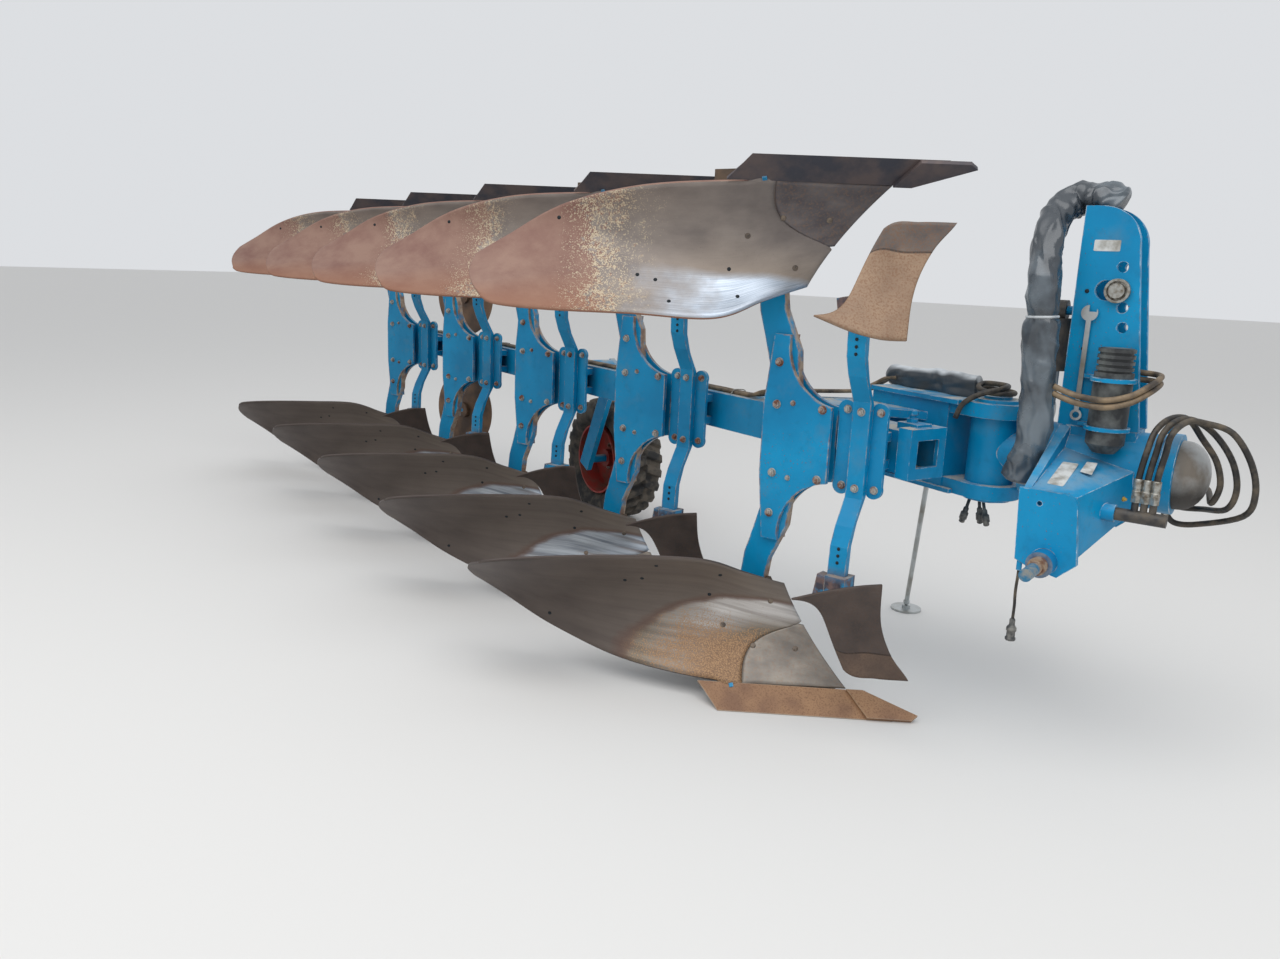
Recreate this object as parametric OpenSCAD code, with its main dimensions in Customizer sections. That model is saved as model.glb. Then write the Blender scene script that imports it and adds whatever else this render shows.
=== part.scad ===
// Five-furrow mounted reversible moldboard plough, parked on its lower bodies.
// +X is the direction of travel, +Y the plough's left, +Z up. z = 0 is the ground.
// The lower bodies throw to the right. The upper ones are their mirror image in the
// beam's mid-plane, and take their place when the frame is turned about its shaft.

/* [Layout] */
// Distance between two bodies along the direction of travel
body_spacing = 900; // [860:10:1000]
// Sideways step from one body to the next, the width of a furrow
furrow_w = 330; // [310:10:350]
// Height from the lower share edges to the upper ones
overall_h = 1780; // [1740:10:1820]
// Sideways distance of the turnover axis from the first leg's plates
turnover_y = 420; // [400:5:450]

/* [Beam] */
// Outside width and height of the main beam's square tube
beam_w = 140; // [125:5:150]
// Wall thickness of the main beam
beam_wall = 10; // [6:1:14]
// Sideways distance from the leg plates to the beam's centre line at the first leg
beam_offset = 312; // [300:2:320]
// Length of beam in front of the first leg, along the direction of travel
beam_front = 470; // [440:10:490]
// Length of beam behind the last leg, along the direction of travel
beam_back = 230; // [200:10:300]

/* [Legs] */
// Thickness of each leg plate
plate_t = 15; // [10:1:18]
// Thickness of the stalks held between the two leg plates
stalk_t = 34; // [28:1:40]
// Height of the shear bolts above and below the beam's middle
shear_bolt_z = 260; // [245:5:275]

/* [Bodies] */
// Thickness of the moldboard sheet
sheet_t = 9; // [6:1:12]
// Thickness of the share blade
blade_t = 11; // [8:1:14]
// Width of the chisel point
point_w = 66; // [50:2:80]
// Height of the landside bar
landside_h = 120; // [90:5:140]

/* [Skimmers and coulters] */
// Width of the skimmer stalk, seen from the side
skim_stalk_w = 62; // [50:2:70]
// Thickness of the skimmer stalk
skim_stalk_t = 25; // [18:1:30]
// Diameter of the disc coulters
disc_d = 460; // [400:10:490]
// Thickness of the disc coulters
disc_t = 6; // [4:1:8]

/* [Depth wheel] */
// Outside diameter of the tyre over its lugs
tyre_d = 700; // [660:10:740]
// Width of the tyre
tyre_w = 260; // [220:10:280]
// Diameter of the rim's seat
rim_d = 400; // [360:10:430]

/* [Headstock] */
// Distance between the outer faces of the two end plates
head_w = 820; // [780:10:840]
// Thickness of the end plates and of the tower plates
head_plate_t = 18; // [14:1:22]
// Radius of the lower link pins
link_pin_r = 18.25; // [18.25:0.05:18.5]
// Radius of the top link holes
top_hole_r = 15.9; // [15.9:0.1:16.5]
// Height of the tower's top above the turnover axis
tower_rise = 785; // [765:5:810]
// Inside width between the two tower plates
tower_gap = 104; // [100:2:116]

/* [Parking stand] */
// Diameter of the stand's rod
stand_d = 20; // [16:1:26]
// Diameter of the stand's foot plate
stand_foot_d = 130; // [110:5:160]

/* [Hidden] */

$fn = 48;
body_count = 5;
eps = 0.3;
mid_z = overall_h / 2;
blue = [0.0, 0.36, 0.62];
steel = [0.35, 0.32, 0.29];
rust = [0.55, 0.40, 0.28];
dark = [0.12, 0.12, 0.13];
grey = [0.45, 0.45, 0.43];

// The beam runs parallel to the row of legs
beam_angle = atan2(furrow_w, body_spacing);
beam_half = beam_w / 2;

// Reach of a moldboard's tail behind and to the right of its own leg's shear bolts
tail_back = 906;
tail_right = 697.9;

// One leg station: its plates' near face is the plane y = 0, x = 0 at the shear bolts
module at_station(i) {
    translate([-i * body_spacing, i * furrow_w, 0]) children();
}

// Draws the child below, and its mirror image above the beam's mid-plane
module both_rows() {
    children();
    translate([0, 0, overall_h]) mirror([0, 0, 1]) children();
}

module place() {
    translate([origin_x, origin_y, 0]) children();
}

// Beam frame: x forward along the beam, y to its left, z from the mid-plane
module at_beam() {
    translate([0, beam_offset, mid_z]) rotate([0, 0, -beam_angle]) children();
}

// Curved sheets
// A sheet is lofted through rows of a table. Each row is [bottom, belly, top]: the two
// ends and the middle control point of an arc across the sheet. Rows run front to back.
function arc3(r, t) = (1-t)*(1-t)*r[0] + 2*t*(1-t)*r[1] + t*t*r[2];
function spline4(p, q, r, s, u) =
    0.5*((2*q) + (r-p)*u + (2*p - 5*q + 4*r - s)*u*u + (3*q - p - 3*r + s)*u*u*u);
function row_at(rows, k) = rows[max(0, min(len(rows)-1, k))];
function loft(rows, a, t) =
    let (k = min(floor(a), len(rows)-2), u = a - k)
    spline4(arc3(row_at(rows, k-1), t), arc3(row_at(rows, k), t),
        arc3(row_at(rows, k+1), t), arc3(row_at(rows, k+2), t), u);
function unit(v) = v / norm(v);
// Direction out of the sheet's working face, to the front and right
function outward(rows, a, t) =
    let (h = 0.01)
    unit(cross(loft(rows, a, t+h) - loft(rows, a, t-h), loft(rows, a+h, t) - loft(rows, a-h, t)));

// Closed sheet over a grid of [a, t] values, its working face on the rows
module sheet(rows, grid, thickness) {
    m = len(grid);
    n = len(grid[0]);
    face = [for (line = grid) for (q = line) loft(rows, q[0], q[1])];
    back = [for (line = grid) for (q = line)
        loft(rows, q[0], q[1]) - thickness * outward(rows, q[0], q[1])];
    b = m * n;
    cells = [for (i = [0:m-2]) for (j = [0:n-2]) i*n + j];
    edge0 = [for (j = [0:n-2]) [j, j+1]];
    edge1 = [for (j = [0:n-2]) [(m-1)*n + j+1, (m-1)*n + j]];
    edge2 = [for (i = [0:m-2]) [(i+1)*n, i*n]];
    edge3 = [for (i = [0:m-2]) [i*n + n-1, (i+1)*n + n-1]];
    rim = concat(edge0, edge1, edge2, edge3);
    polyhedron(
        points = concat(back, face),
        faces = concat(
            [for (c = cells) [c, c+1, c+n+1]], [for (c = cells) [c, c+n+1, c+n]],
            [for (c = cells) [b+c, b+c+n+1, b+c+1]], [for (c = cells) [b+c, b+c+n, b+c+n+1]],
            [for (e = rim) [e[1], e[0], b+e[0]]], [for (e = rim) [e[1], b+e[0], b+e[1]]]),
        convexity = 6);
}

// Moldboard rows, in the station's frame with z from the ground:
//       bottom               belly                top
board_rows = [
    [[316, 30, 80],      [144, 30, 232],      [65, 30, 385]],
    [[83, -125, 80],     [-34, 2, 250],       [-15, -95, 430]],
    [[-84, -236, 76],    [-236, -53, 277],    [-112, -246, 488]],
    [[-375, -319, 94],   [-473, -170, 271],   [-335, -392, 484]],
    [[-660, -360, 150],  [-682, -326, 285],   [-520, -580, 480]],
    [[-825, -450, 255],  [-776, -504, 348],   [-640, -690, 468]],
    [[-906, -510, 316],  [-877, -620, 390],   [-700, -690, 445]]];
board_end = len(board_rows) - 1;
// The seam between shin and moldboard leaves the share at seam_a and meets the
// front edge at the share of its height called seam_t
seam_a = 1.3;
seam_t = 0.6;
seam_gap = 0.006;
seam_steps = [0, 0.1, 0.2, 0.3, 0.4, 0.5, 0.57];
function seam(t) = seam_a * (1 - pow(min(1, t / seam_t), 2.3));

// Skimmer board rows, same frame
skim_rows = [
    [[550, -20, 180],  [505, -70, 340],   [495, -150, 520]],
    [[470, -75, 182],  [400, -110, 350],  [440, -215, 515]],
    [[390, -125, 195], [330, -150, 330],  [365, -265, 495]],
    [[300, -150, 300], [262, -200, 380],  [270, -305, 457]]];

// Columns of the moldboard behind the seam's own stretch
board_cols = [1.6, 2, 2.5, 3, 3.5, 4, 4.5, 5, 5.4, 5.7, board_end];
// Bolts through the sheets: where on the sheet [a, t], and the seat in the frog [x, y, z]
bolt_r = 7;
boss_r = 17;
boss_l = 22;
boss_gap = 3;
bolt_rows = [
    [0.45, 0.3, 105, 32, 190], [0.6, 0.75, 0, 32, 322], [1.6, 0.4, -95, 32, 240]];
function bolt_face(b) = loft(board_rows, b[0], b[1]);
function bolt_out(b) = outward(board_rows, b[0], b[1]);
function bolt_seat(b) = [b[2], b[3], b[4]];

// Round bar from point p to point q
module bar(p, q, r) {
    d = q - p;
    translate(p) rotate([0, acos(d[2] / norm(d)), atan2(d[1], d[0])]) cylinder(h = norm(d), r = r);
}

module bolt_holes() {
    for (b = bolt_rows)
        bar(bolt_face(b) - 30 * bolt_out(b), bolt_face(b) + 20 * bolt_out(b), bolt_r + eps);
}

module moldboard() {
    color(steel) difference() {
        sheet(board_rows,
            [for (t = concat(seam_steps, [0.6, 0.7, 0.8, 0.9, 1]))
                let (a0 = seam(t) + (t < seam_t ? seam_gap : 0))
                concat([for (i = [0:2]) [a0 + (board_cols[0] - a0) * i / 3, t]],
                    [for (a = board_cols) [a, t]])], sheet_t);
        bolt_holes();
    }
}

module shin() {
    color(steel) difference() {
        sheet(board_rows, [for (t = seam_steps) [for (i = [0:4]) [seam(t) * i / 4, t]]],
            sheet_t);
        bolt_holes();
    }
}

// Share blade: a flat bevelled bar under the sheet's bottom edge, cutting edge on the ground
blade_wing = [13, -281, 0];
blade_front = [547, 74, 0];
blade_w = 105;
edge_z = 0.5;
share_u = unit(blade_front - blade_wing);
share_v = unit([-share_u[1], share_u[0], 0] * 87 + [0, 0, 76]);
share_n = cross(share_u, share_v);
// A point in the blade's plane: u along the edge from the wing, v up the blade, w out of it
function on_blade(u, v, w) = blade_wing + [0, 0, edge_z] + u*share_u + v*share_v + w*share_n;
blade_end = 580;
blade_slant = 70;
blade_rake = 84;
blade_bevel = 17;
module share_blade() {
    f = [for (w = [0, -blade_t]) for (q = w == 0
        ? [[0, 0], [blade_end, 0], [blade_end - blade_rake, blade_w], [-blade_slant, blade_w]]
        : [[0, blade_bevel], [blade_end, blade_bevel], [blade_end - blade_rake, blade_w],
            [-blade_slant, blade_w]])
        on_blade(q[0], q[1], w)];
    color(rust) polyhedron(points = f,
        faces = [[0,3,2],[0,2,1],[4,5,6],[4,6,7],[0,1,5],[0,5,4],[1,2,6],[1,6,5],
            [2,3,7],[2,7,6],[3,0,4],[3,4,7]]);
}

// Places a flat drawing in the blade's plane
module in_blade_plane(w) {
    o = on_blade(0, 0, w);
    multmatrix([[share_u[0], share_v[0], share_n[0], o[0]],
        [share_u[1], share_v[1], share_n[1], o[1]],
        [share_u[2], share_v[2], share_n[2], o[2]]]) children();
}

point_t = 14;
module share_point() {
    color(rust) in_blade_plane(eps) linear_extrude(point_t)
        polygon([[431, 100], [494, 1], [640, 1], [662, 20], [420 + point_w, 100]]);
}

landside_t = 12;
module landside() {
    color(steel) translate([-330, plate_t + stalk_t + eps, 4]) cube([560, landside_t, landside_h]);
}

stalk_foot_z = 390;
// Frog: the casting that carries share, shin, moldboard and landside
stay_a = 3.2;
stay_t = 0.5;
stay_pad_t = 12;
stay_gap = 1.2;
module frog() {
    out = outward(board_rows, stay_a, stay_t);
    pad = loft(board_rows, stay_a, stay_t) - (sheet_t + stay_pad_t) * out;
    color(steel) {
        translate([0, plate_t + stalk_t, 0]) rotate([90, 0, 0]) linear_extrude(stalk_t)
            polygon([[286, 56], [226, 106], [158, 157], [95, 235], [50, 300], [30, 345],
                [0, stalk_foot_z], [-115, stalk_foot_z], [-150, 250], [-210, 90],
                [-200, 14], [250, 14]]);
        in_blade_plane(-blade_t - eps - 12) linear_extrude(12)
            polygon([[150, 42], [505, 42], [470, 108], [150, 108]]);
        for (b = bolt_rows) {
            f = bolt_face(b);
            out = bolt_out(b);
            bar(bolt_seat(b), f - (sheet_t + boss_l - 4) * out, boss_r - 3);
            bar(f - (sheet_t + boss_l) * out, f - (sheet_t + boss_gap) * out, boss_r);
            bar(f - (sheet_t + boss_l) * out, f + 0.5 * out, bolt_r);
        }
        bar(loft(board_rows, stay_a, stay_t) - (sheet_t + stay_gap) * out, pad, 30);
        bar([-120, plate_t + stalk_t/2, 320], pad, 13);
    }
}

// Curved stalk from the shear bolt down to the frog
module stalk() {
    top = mid_z - 170;
    foot = stalk_foot_z + eps;
    color(blue) translate([0, plate_t + stalk_t - eps, 0]) rotate([90, 0, 0])
        linear_extrude(stalk_t - 2*eps)
            polygon([[-45, top], [70, top], [60, mid_z-300], [32, mid_z-360],
                [0, mid_z-430], [-10, foot], [-105, foot], [-95, mid_z-420],
                [-70, mid_z-340], [-45, mid_z-250]]);
}

// Leg plate: broad at the beam, drawn in by an arc towards each shear bolt
leg_front = 203;
leg_past_bolt = 90;
leg_arc_x = 232;
leg_arc_r = 198;
leg_arc_past_bolt = 62;
module leg_plate_outline() {
    end_z = shear_bolt_z + leg_past_bolt;
    difference() {
        polygon([[-50, -120], [-25, -end_z], [leg_front, -end_z], [leg_front, end_z],
            [-25, end_z], [-50, 120]]);
        for (s = [-1, 1]) translate([leg_arc_x, s * (shear_bolt_z + leg_arc_past_bolt)])
            circle(r = leg_arc_r, $fn = 96);
    }
}

module leg_plates() {
    color(blue) for (y = [plate_t, 2*plate_t + stalk_t])
        translate([0, y, mid_z]) rotate([90, 0, 0]) linear_extrude(plate_t)
            leg_plate_outline();
}

// Console between the far leg plate and the beam
module leg_console() {
    y0 = 2*plate_t + stalk_t + eps;
    face_y = beam_offset - beam_half / cos(beam_angle) - eps;
    slope = furrow_w / body_spacing;
    x0 = -30;
    x1 = 190;
    color(blue) translate([0, 0, mid_z - beam_half]) linear_extrude(beam_w)
        polygon([[x0, y0], [x1, y0], [x1, face_y - slope*x1], [x0, face_y - slope*x0]]);
}

module main_beam() {
    front = beam_front / cos(beam_angle);
    back = ((body_count-1)*body_spacing + beam_back) / cos(beam_angle);
    color(blue) at_beam() difference() {
        translate([-back, -beam_half, -beam_half]) cube([front + back, beam_w, beam_w]);
        translate([-back-1, -beam_half+beam_wall, -beam_half+beam_wall])
            cube([front + back + 2, beam_w - 2*beam_wall, beam_w - 2*beam_wall]);
    }
}

// Flanged front end of the beam, open at its front, with the front furrow's screw on top
collar_l = 40;
collar_t = 12;
end_lip = 22;
screw_r = 11;
screw_head_r = 19;
module beam_end() {
    front = beam_front / cos(beam_angle);
    color(blue) at_beam() difference() {
        union() {
            translate([front - collar_l, -beam_half - collar_t, -beam_half - collar_t])
                cube([collar_l + 15, beam_w + 2*collar_t, beam_w + 2*collar_t]);
            translate([front - 92, -34, beam_half + collar_t]) cube([84, 68, 10]);
            translate([front - 92, -34, beam_half + eps]) cube([60, 68, collar_t + 2]);
        }
        translate([front - collar_l - 1, -beam_half - eps, -beam_half - eps])
            cube([collar_l + 1 + eps, beam_w + 2*eps, beam_w + 2*eps]);
        translate([front - 1, -beam_half + end_lip, -beam_half + end_lip + 4])
            cube([30, beam_w - 2*end_lip, beam_w - 2*end_lip - 8]);
    }
    color(blue) at_beam() translate([front - 60, 0, beam_half + collar_t + 9]) {
        cylinder(h = 42, r = screw_r);
        cylinder(h = 14, r = screw_head_r, $fn = 6);
        translate([0, 0, 26]) cylinder(h = 14, r = screw_head_r, $fn = 6);
    }
}

// Swing arm: a box girder back from the pivot barrel, beside the beam, with cover plates
// that reach round the barrel at its front and over the beam at its back
arm_angle = 24;
arm_w = 216;
arm_h = 290;
arm_l = 480;
arm_flange_t = 14;
arm_flange_over = 12;
arm_eye_r = 104;
barrel_x = 600;
barrel_r = 78;
barrel_h = 340;
fork_t = 28;
module at_arm() {
    translate([barrel_x, turnover_y, mid_z]) rotate([0, 0, -arm_angle]) children();
}
// A point of the arm, seen from above: back from the barrel, and to its left
function arm_point(back, left) = [barrel_x - back*cos(arm_angle) + left*sin(arm_angle),
    turnover_y + back*sin(arm_angle) + left*cos(arm_angle)];

module swing_arm() {
    half = arm_w/2;
    color(blue) {
        difference() {
            at_arm() union() {
                translate([-arm_l, -half, -arm_h/2]) cube([arm_l - barrel_r - 30, arm_w, arm_h]);
                for (s = [-1, 1]) {
                    translate([-arm_l, -half - arm_flange_over, s*(arm_h/2 + arm_flange_t/2) - arm_flange_t/2 - 0.5])
                        cube([arm_l - 60, arm_w + 2*arm_flange_over, arm_flange_t + 1]);
                    translate([0, 0, s*(arm_h/2 - 10) - 24]) cylinder(h = 48, r = arm_eye_r);
                    translate([-160, -arm_eye_r + 1, s*(arm_h/2 - 10) - 24])
                        cube([160, 2*arm_eye_r - 2, 48]);
                }
            }
            at_arm() cylinder(h = barrel_h + 2, r = barrel_r + eps, center = true);
        }
        for (z = [beam_half + eps, -beam_half - eps - fork_t])
            translate([0, 0, mid_z + z]) linear_extrude(fork_t)
                polygon([arm_point(200, -half + 2), arm_point(200, half - 2), arm_point(arm_l - 2, half - 2),
                    [-120, beam_offset + 110], [-150, beam_offset + 40], [-110, beam_offset - 40],
                    [0, beam_offset - 55]]);
    }
}

module arm_pivot() {
    color(blue) translate([barrel_x, turnover_y, mid_z]) {
        cylinder(h = barrel_h, r = barrel_r, center = true);
        for (s = [-1, 1]) translate([0, 0, s*barrel_h/2]) cylinder(h = 16, r = 45, center = true);
    }
}

// Shaft that the whole frame turns on, with its flange and crank
shaft_r = 70;
shaft_run = 0.05;
flange_x = 715;
shaft_short = 10;
module turnover_shaft() {
    color(blue) translate([0, turnover_y, mid_z]) {
        difference() {
            translate([barrel_x, 0, 0]) rotate([0, 90, 0])
                cylinder(h = housing_x1 - shaft_short - barrel_x, r = shaft_r);
            translate([barrel_x, 0, -200]) cylinder(h = 400, r = barrel_r + eps);
        }
        translate([flange_x, 0, 0]) rotate([0, 90, 0]) cylinder(h = 30, r = 128);
        translate([flange_x + 2, -30, 0]) cube([26, 60, 175]);
    }
}

// Skimmer: a console on the beam, a bent flat stalk and a small board
skim_x = 270;
skim_y = 22;
function beam_face(x) = beam_offset - beam_half / cos(beam_angle) - eps - x * furrow_w / body_spacing;
clamp_t = 14;
clamp_x = [214, 382];
clamp_half_h = 118;
lug_r = 30;
// Lug centres [x, z from the beam's middle]
clamp_lugs = [[240, 126], [354, 126], [240, -126], [354, -126]];
shelf_z = [30, -60];
shelf_t = 30;
module skimmer_bracket() {
    y0 = skim_y + skim_stalk_t/2 + eps;
    color(blue) {
        translate([0, y0 + clamp_t, mid_z]) rotate([90, 0, 0]) linear_extrude(clamp_t)
            difference() {
                union() {
                    translate([clamp_x[0], -clamp_half_h])
                        square([clamp_x[1] - clamp_x[0], 2*clamp_half_h]);
                    for (q = clamp_lugs) translate(q) circle(r = lug_r);
                }
                translate([skim_x + skim_stalk_w/2, 0])
                    square([skim_stalk_w - 12, 2*clamp_half_h - 60], center = true);
            }
        for (z = shelf_z) translate([0, 0, mid_z + z]) linear_extrude(shelf_t)
            polygon([[clamp_x[0] + 10, y0 + clamp_t/2], [clamp_x[1] - 10, y0 + clamp_t/2],
                [clamp_x[1] - 10, beam_face(clamp_x[1] - 10)],
                [clamp_x[0] + 10, beam_face(clamp_x[0] + 10)]]);
    }
}

skim_bend_z = mid_z - 150;
skim_foot_z = 390;
// Seats of the skimmer board on its stalk: [a, t] on the board
skim_seats = [[1.1, 0.72], [1.4, 0.6]];
skim_boss_r = 13;
skim_boss_l = 40;
skim_boss_gap = 0.7;
// Foot of the stalk: a clamp block round it and a wedge behind it
foot_block = [72, 74, 55];
foot_block_z = 435;
module skimmer_arm() {
    t = skim_stalk_t;
    d = skim_bend_z - skim_foot_z;
    foot = [skim_x, skim_y - 90, foot_block_z];
    translate([skim_x, skim_y, skim_bend_z]) rotate([90, 0, 90])
        linear_extrude(skim_stalk_w) polygon([[1 - t/2, 18], [-14, -8], [-66, -92], [-92, -155],
            [-97, 100 - d], [-100, -d], [-76, -d], [-72, 100 - d], [-67, -150], [-40, -78],
            [10, -2], [t/2 - 1, 18]]);
    translate(foot + [4, -foot_block[1]/2 + 4, 0]) cube(foot_block);
    translate(foot + [0, 26, 0]) rotate([90, 0, 0]) linear_extrude(44)
        polygon([[-42, -24], [-30, 50], [5, 44], [5, -34]]);
    for (q = skim_seats) {
        out = outward(skim_rows, q[0], q[1]);
        seat = loft(skim_rows, q[0], q[1]) - (skim_t + skim_boss_gap) * out;
        bar(seat, seat - skim_boss_l * out, skim_boss_r);
        bar(seat - (skim_boss_l - 8) * out, foot + [skim_stalk_w/2, 0, 12], skim_boss_r - 2);
    }
}

// One bar passes in front of the beam and carries a skimmer at each end
module skimmer_stalk() {
    color(blue) {
        translate([skim_x + 1, skim_y - skim_stalk_t/2, skim_bend_z - 2])
            cube([skim_stalk_w - 2, skim_stalk_t, 2 * (mid_z - skim_bend_z) + 4]);
        both_rows() skimmer_arm();
    }
}

skim_t = 8;
skim_steps = 5;
module skimmer_board() {
    color(rust) sheet(skim_rows, [for (j = [0:skim_steps]) [for (i = [0:skim_steps])
        [3 * i / skim_steps, j / skim_steps]]], skim_t);
}

disc_x = -2784;
disc_y = 1197;
disc_z = 550;
disc_pin_r = 12;
module disc(z) {
    color(rust) translate([disc_x, disc_y, z]) rotate([90, 0, 0]) difference() {
        union() {
            cylinder(h = disc_t, r = disc_d/2, center = true);
            cylinder(h = 50, r = 45, center = true);
        }
        cylinder(h = 60, r = disc_pin_r + shaft_run, center = true);
    }
}

module disc_bracket() {
    color(blue) {
        translate([disc_x, disc_y + 60, disc_z]) rotate([90, 0, 0])
            cylinder(h = 85, r = disc_pin_r);
        translate([disc_x - 25, disc_y + 30, disc_z - 25])
            cube([50, 30, mid_z - disc_z + 25 - beam_half - eps]);
        translate([disc_x - 25, disc_y + 30, mid_z - beam_half - eps - 25]) cube([50, 130, 25]);
    }
}

// Depth wheel, trailing on the beam's left
wheel_along = 2170;
wheel_side = 484;
wheel_z = tyre_d / 2;
pivot_along = 1920;
axle_r = 22;
swing_pin_r = 25;
wheel_gap = 30;
module wheel_frame() {
    at_beam() translate([-wheel_along, wheel_side, wheel_z - mid_z]) rotate([-90, 0, 0]) children();
}

lug_h = 22;
lug_w = 28;
tyre_lugs = 24;
tread_r = tyre_d/2 - lug_h;
tyre_round = 62;
tyre_bead = 96;
module tyre() {
    color(dark) wheel_frame() {
        rotate_extrude($fn = 96) polygon(concat(
            [[rim_d/2 + eps, -tyre_bead], [rim_d/2 + 14, -tyre_bead - 6]],
            [for (k = [0:6]) let (a = k * 15) [tread_r - tyre_round + tyre_round * sin(a),
                -tyre_w/2 + tyre_round - tyre_round * cos(a)]],
            [for (k = [6:-1:0]) let (a = k * 15) [tread_r - tyre_round + tyre_round * sin(a),
                tyre_w/2 - tyre_round + tyre_round * cos(a)]],
            [[rim_d/2 + 14, tyre_bead + 6], [rim_d/2 + eps, tyre_bead]]));
        for (k = [0:tyre_lugs-1]) rotate([0, 0, k * 360 / tyre_lugs])
            rotate([90, 0, 0]) linear_extrude(lug_w, center = true) scale([1, k % 2 == 0 ? -1 : 1])
                polygon([[tread_r - 6, -10], [tyre_d/2 - 0.5, -10], [tyre_d/2 - 0.5, tyre_w/2 - 62],
                    [tread_r - 8, tyre_w/2 - 16], [tread_r - 40, tyre_w/2 - 6],
                    [tread_r - 40, tyre_w/2 - 24]]);
    }
}

module wheel_rim() {
    color([0.55, 0.12, 0.10]) wheel_frame() difference() {
        union() {
            difference() {
                cylinder(h = tyre_w - 20, r = rim_d/2, center = true);
                cylinder(h = tyre_w, r = rim_d/2 - 10, center = true);
            }
            cylinder(h = 12, r = rim_d/2 - 5, center = true);
            cylinder(h = 120, r = 50, center = true);
        }
        cylinder(h = 200, r = axle_r + shaft_run, center = true);
    }
}

module wheel_arm() {
    run = wheel_along - pivot_along;
    drop = mid_z - wheel_z;
    len = sqrt(run*run + drop*drop);
    ang = atan2(-drop, -run);
    side = wheel_side - tyre_w/2 - wheel_gap - 30;
    color(blue) at_beam() {
        translate([-pivot_along, side, 0]) rotate([0, -ang, 0]) difference() {
            translate([-45, 0, -45]) cube([len + 90, 30, 90]);
            rotate([-90, 0, 0]) translate([0, 0, -1]) cylinder(h = 32, r = swing_pin_r + shaft_run);
        }
        translate([-wheel_along, side + 30, -drop]) rotate([-90, 0, 0])
            cylinder(h = wheel_gap + tyre_w/2 + 60, r = axle_r);
    }
}

module wheel_bracket() {
    side = wheel_side - tyre_w/2 - wheel_gap - 30;
    color(blue) at_beam() {
        translate([-pivot_along - 70, beam_half + eps, -90]) cube([140, 20, 180]);
        translate([-pivot_along, beam_half + 20, 0]) rotate([-90, 0, 0])
            cylinder(h = side - beam_half - 20 - 6, r = 55);
        translate([-pivot_along, side - 7, 0]) rotate([-90, 0, 0])
            cylinder(h = 44, r = swing_pin_r);
    }
}

// Parking stand, leaning out to the left of the arm
stand_foot_x = 90;
stand_foot_y = 1160;
stand_top_x = 289;
stand_top_y = 722;
stand_top_z = mid_z - 110;
stand_pin_r = 10;
stand_eye_r = 22;
stand_foot_t = 8;
stand_boss_h = 12;
stand_ball_r = 14;
stand_run = [stand_foot_x - stand_top_x, stand_foot_y - stand_top_y,
    stand_foot_t + stand_boss_h + eps + stand_ball_r - stand_top_z];
module stand_rod() {
    len = norm(stand_run);
    az = atan2(stand_run[1], stand_run[0]);
    tilt = acos(stand_run[2] / len);
    color(grey) difference() {
        union() {
            translate([stand_top_x, stand_top_y, stand_top_z]) rotate([0, tilt, az])
                cylinder(h = len, r = stand_d/2);
            translate([stand_top_x, stand_top_y, stand_top_z]) rotate([0, 90, 0])
                cylinder(h = 30, r = stand_eye_r, center = true);
            translate([stand_top_x, stand_top_y, stand_top_z] + stand_run) sphere(r = stand_ball_r);
        }
        translate([stand_top_x, stand_top_y, stand_top_z]) rotate([0, 90, 0])
            cylinder(h = 60, r = stand_pin_r + shaft_run, center = true);
    }
}

module stand_foot() {
    color(grey) translate([stand_foot_x, stand_foot_y, 0]) {
        cylinder(h = stand_foot_t, r = stand_foot_d/2);
        cylinder(h = stand_foot_t + stand_boss_h, r = stand_ball_r + 4);
    }
}

// Bracket: a pad on the arm's left side, two cheeks and the stand's pin
stand_cheek_t = 12;
stand_cheek_h = 52;
stand_pad_t = 14;
module stand_bracket() {
    color(blue) {
        at_arm() translate([-stand_back - 55, arm_w/2 + eps, stand_top_z - mid_z - stand_cheek_h/2 - 4])
            cube([110, stand_pad_t, stand_cheek_h + 8]);
        for (x = [stand_top_x - 33, stand_top_x + 33 - stand_cheek_t])
            translate([x, arm_side(x) + 2, stand_top_z - stand_cheek_h/2])
                cube([stand_cheek_t, stand_top_y + 20 - arm_side(x) - 2, stand_cheek_h]);
        translate([stand_top_x, stand_top_y, stand_top_z]) rotate([0, 90, 0])
            cylinder(h = 66, r = stand_pin_r, center = true);
    }
}
// Sideways place of the arm's left face at x, and how far back along the arm the stand is
function arm_side(x) = turnover_y + (arm_w/2 + (barrel_x - x)*sin(arm_angle)) / cos(arm_angle);
stand_back = (barrel_x - stand_top_x)*cos(arm_angle) + (stand_top_y - turnover_y)*sin(arm_angle);

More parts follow.
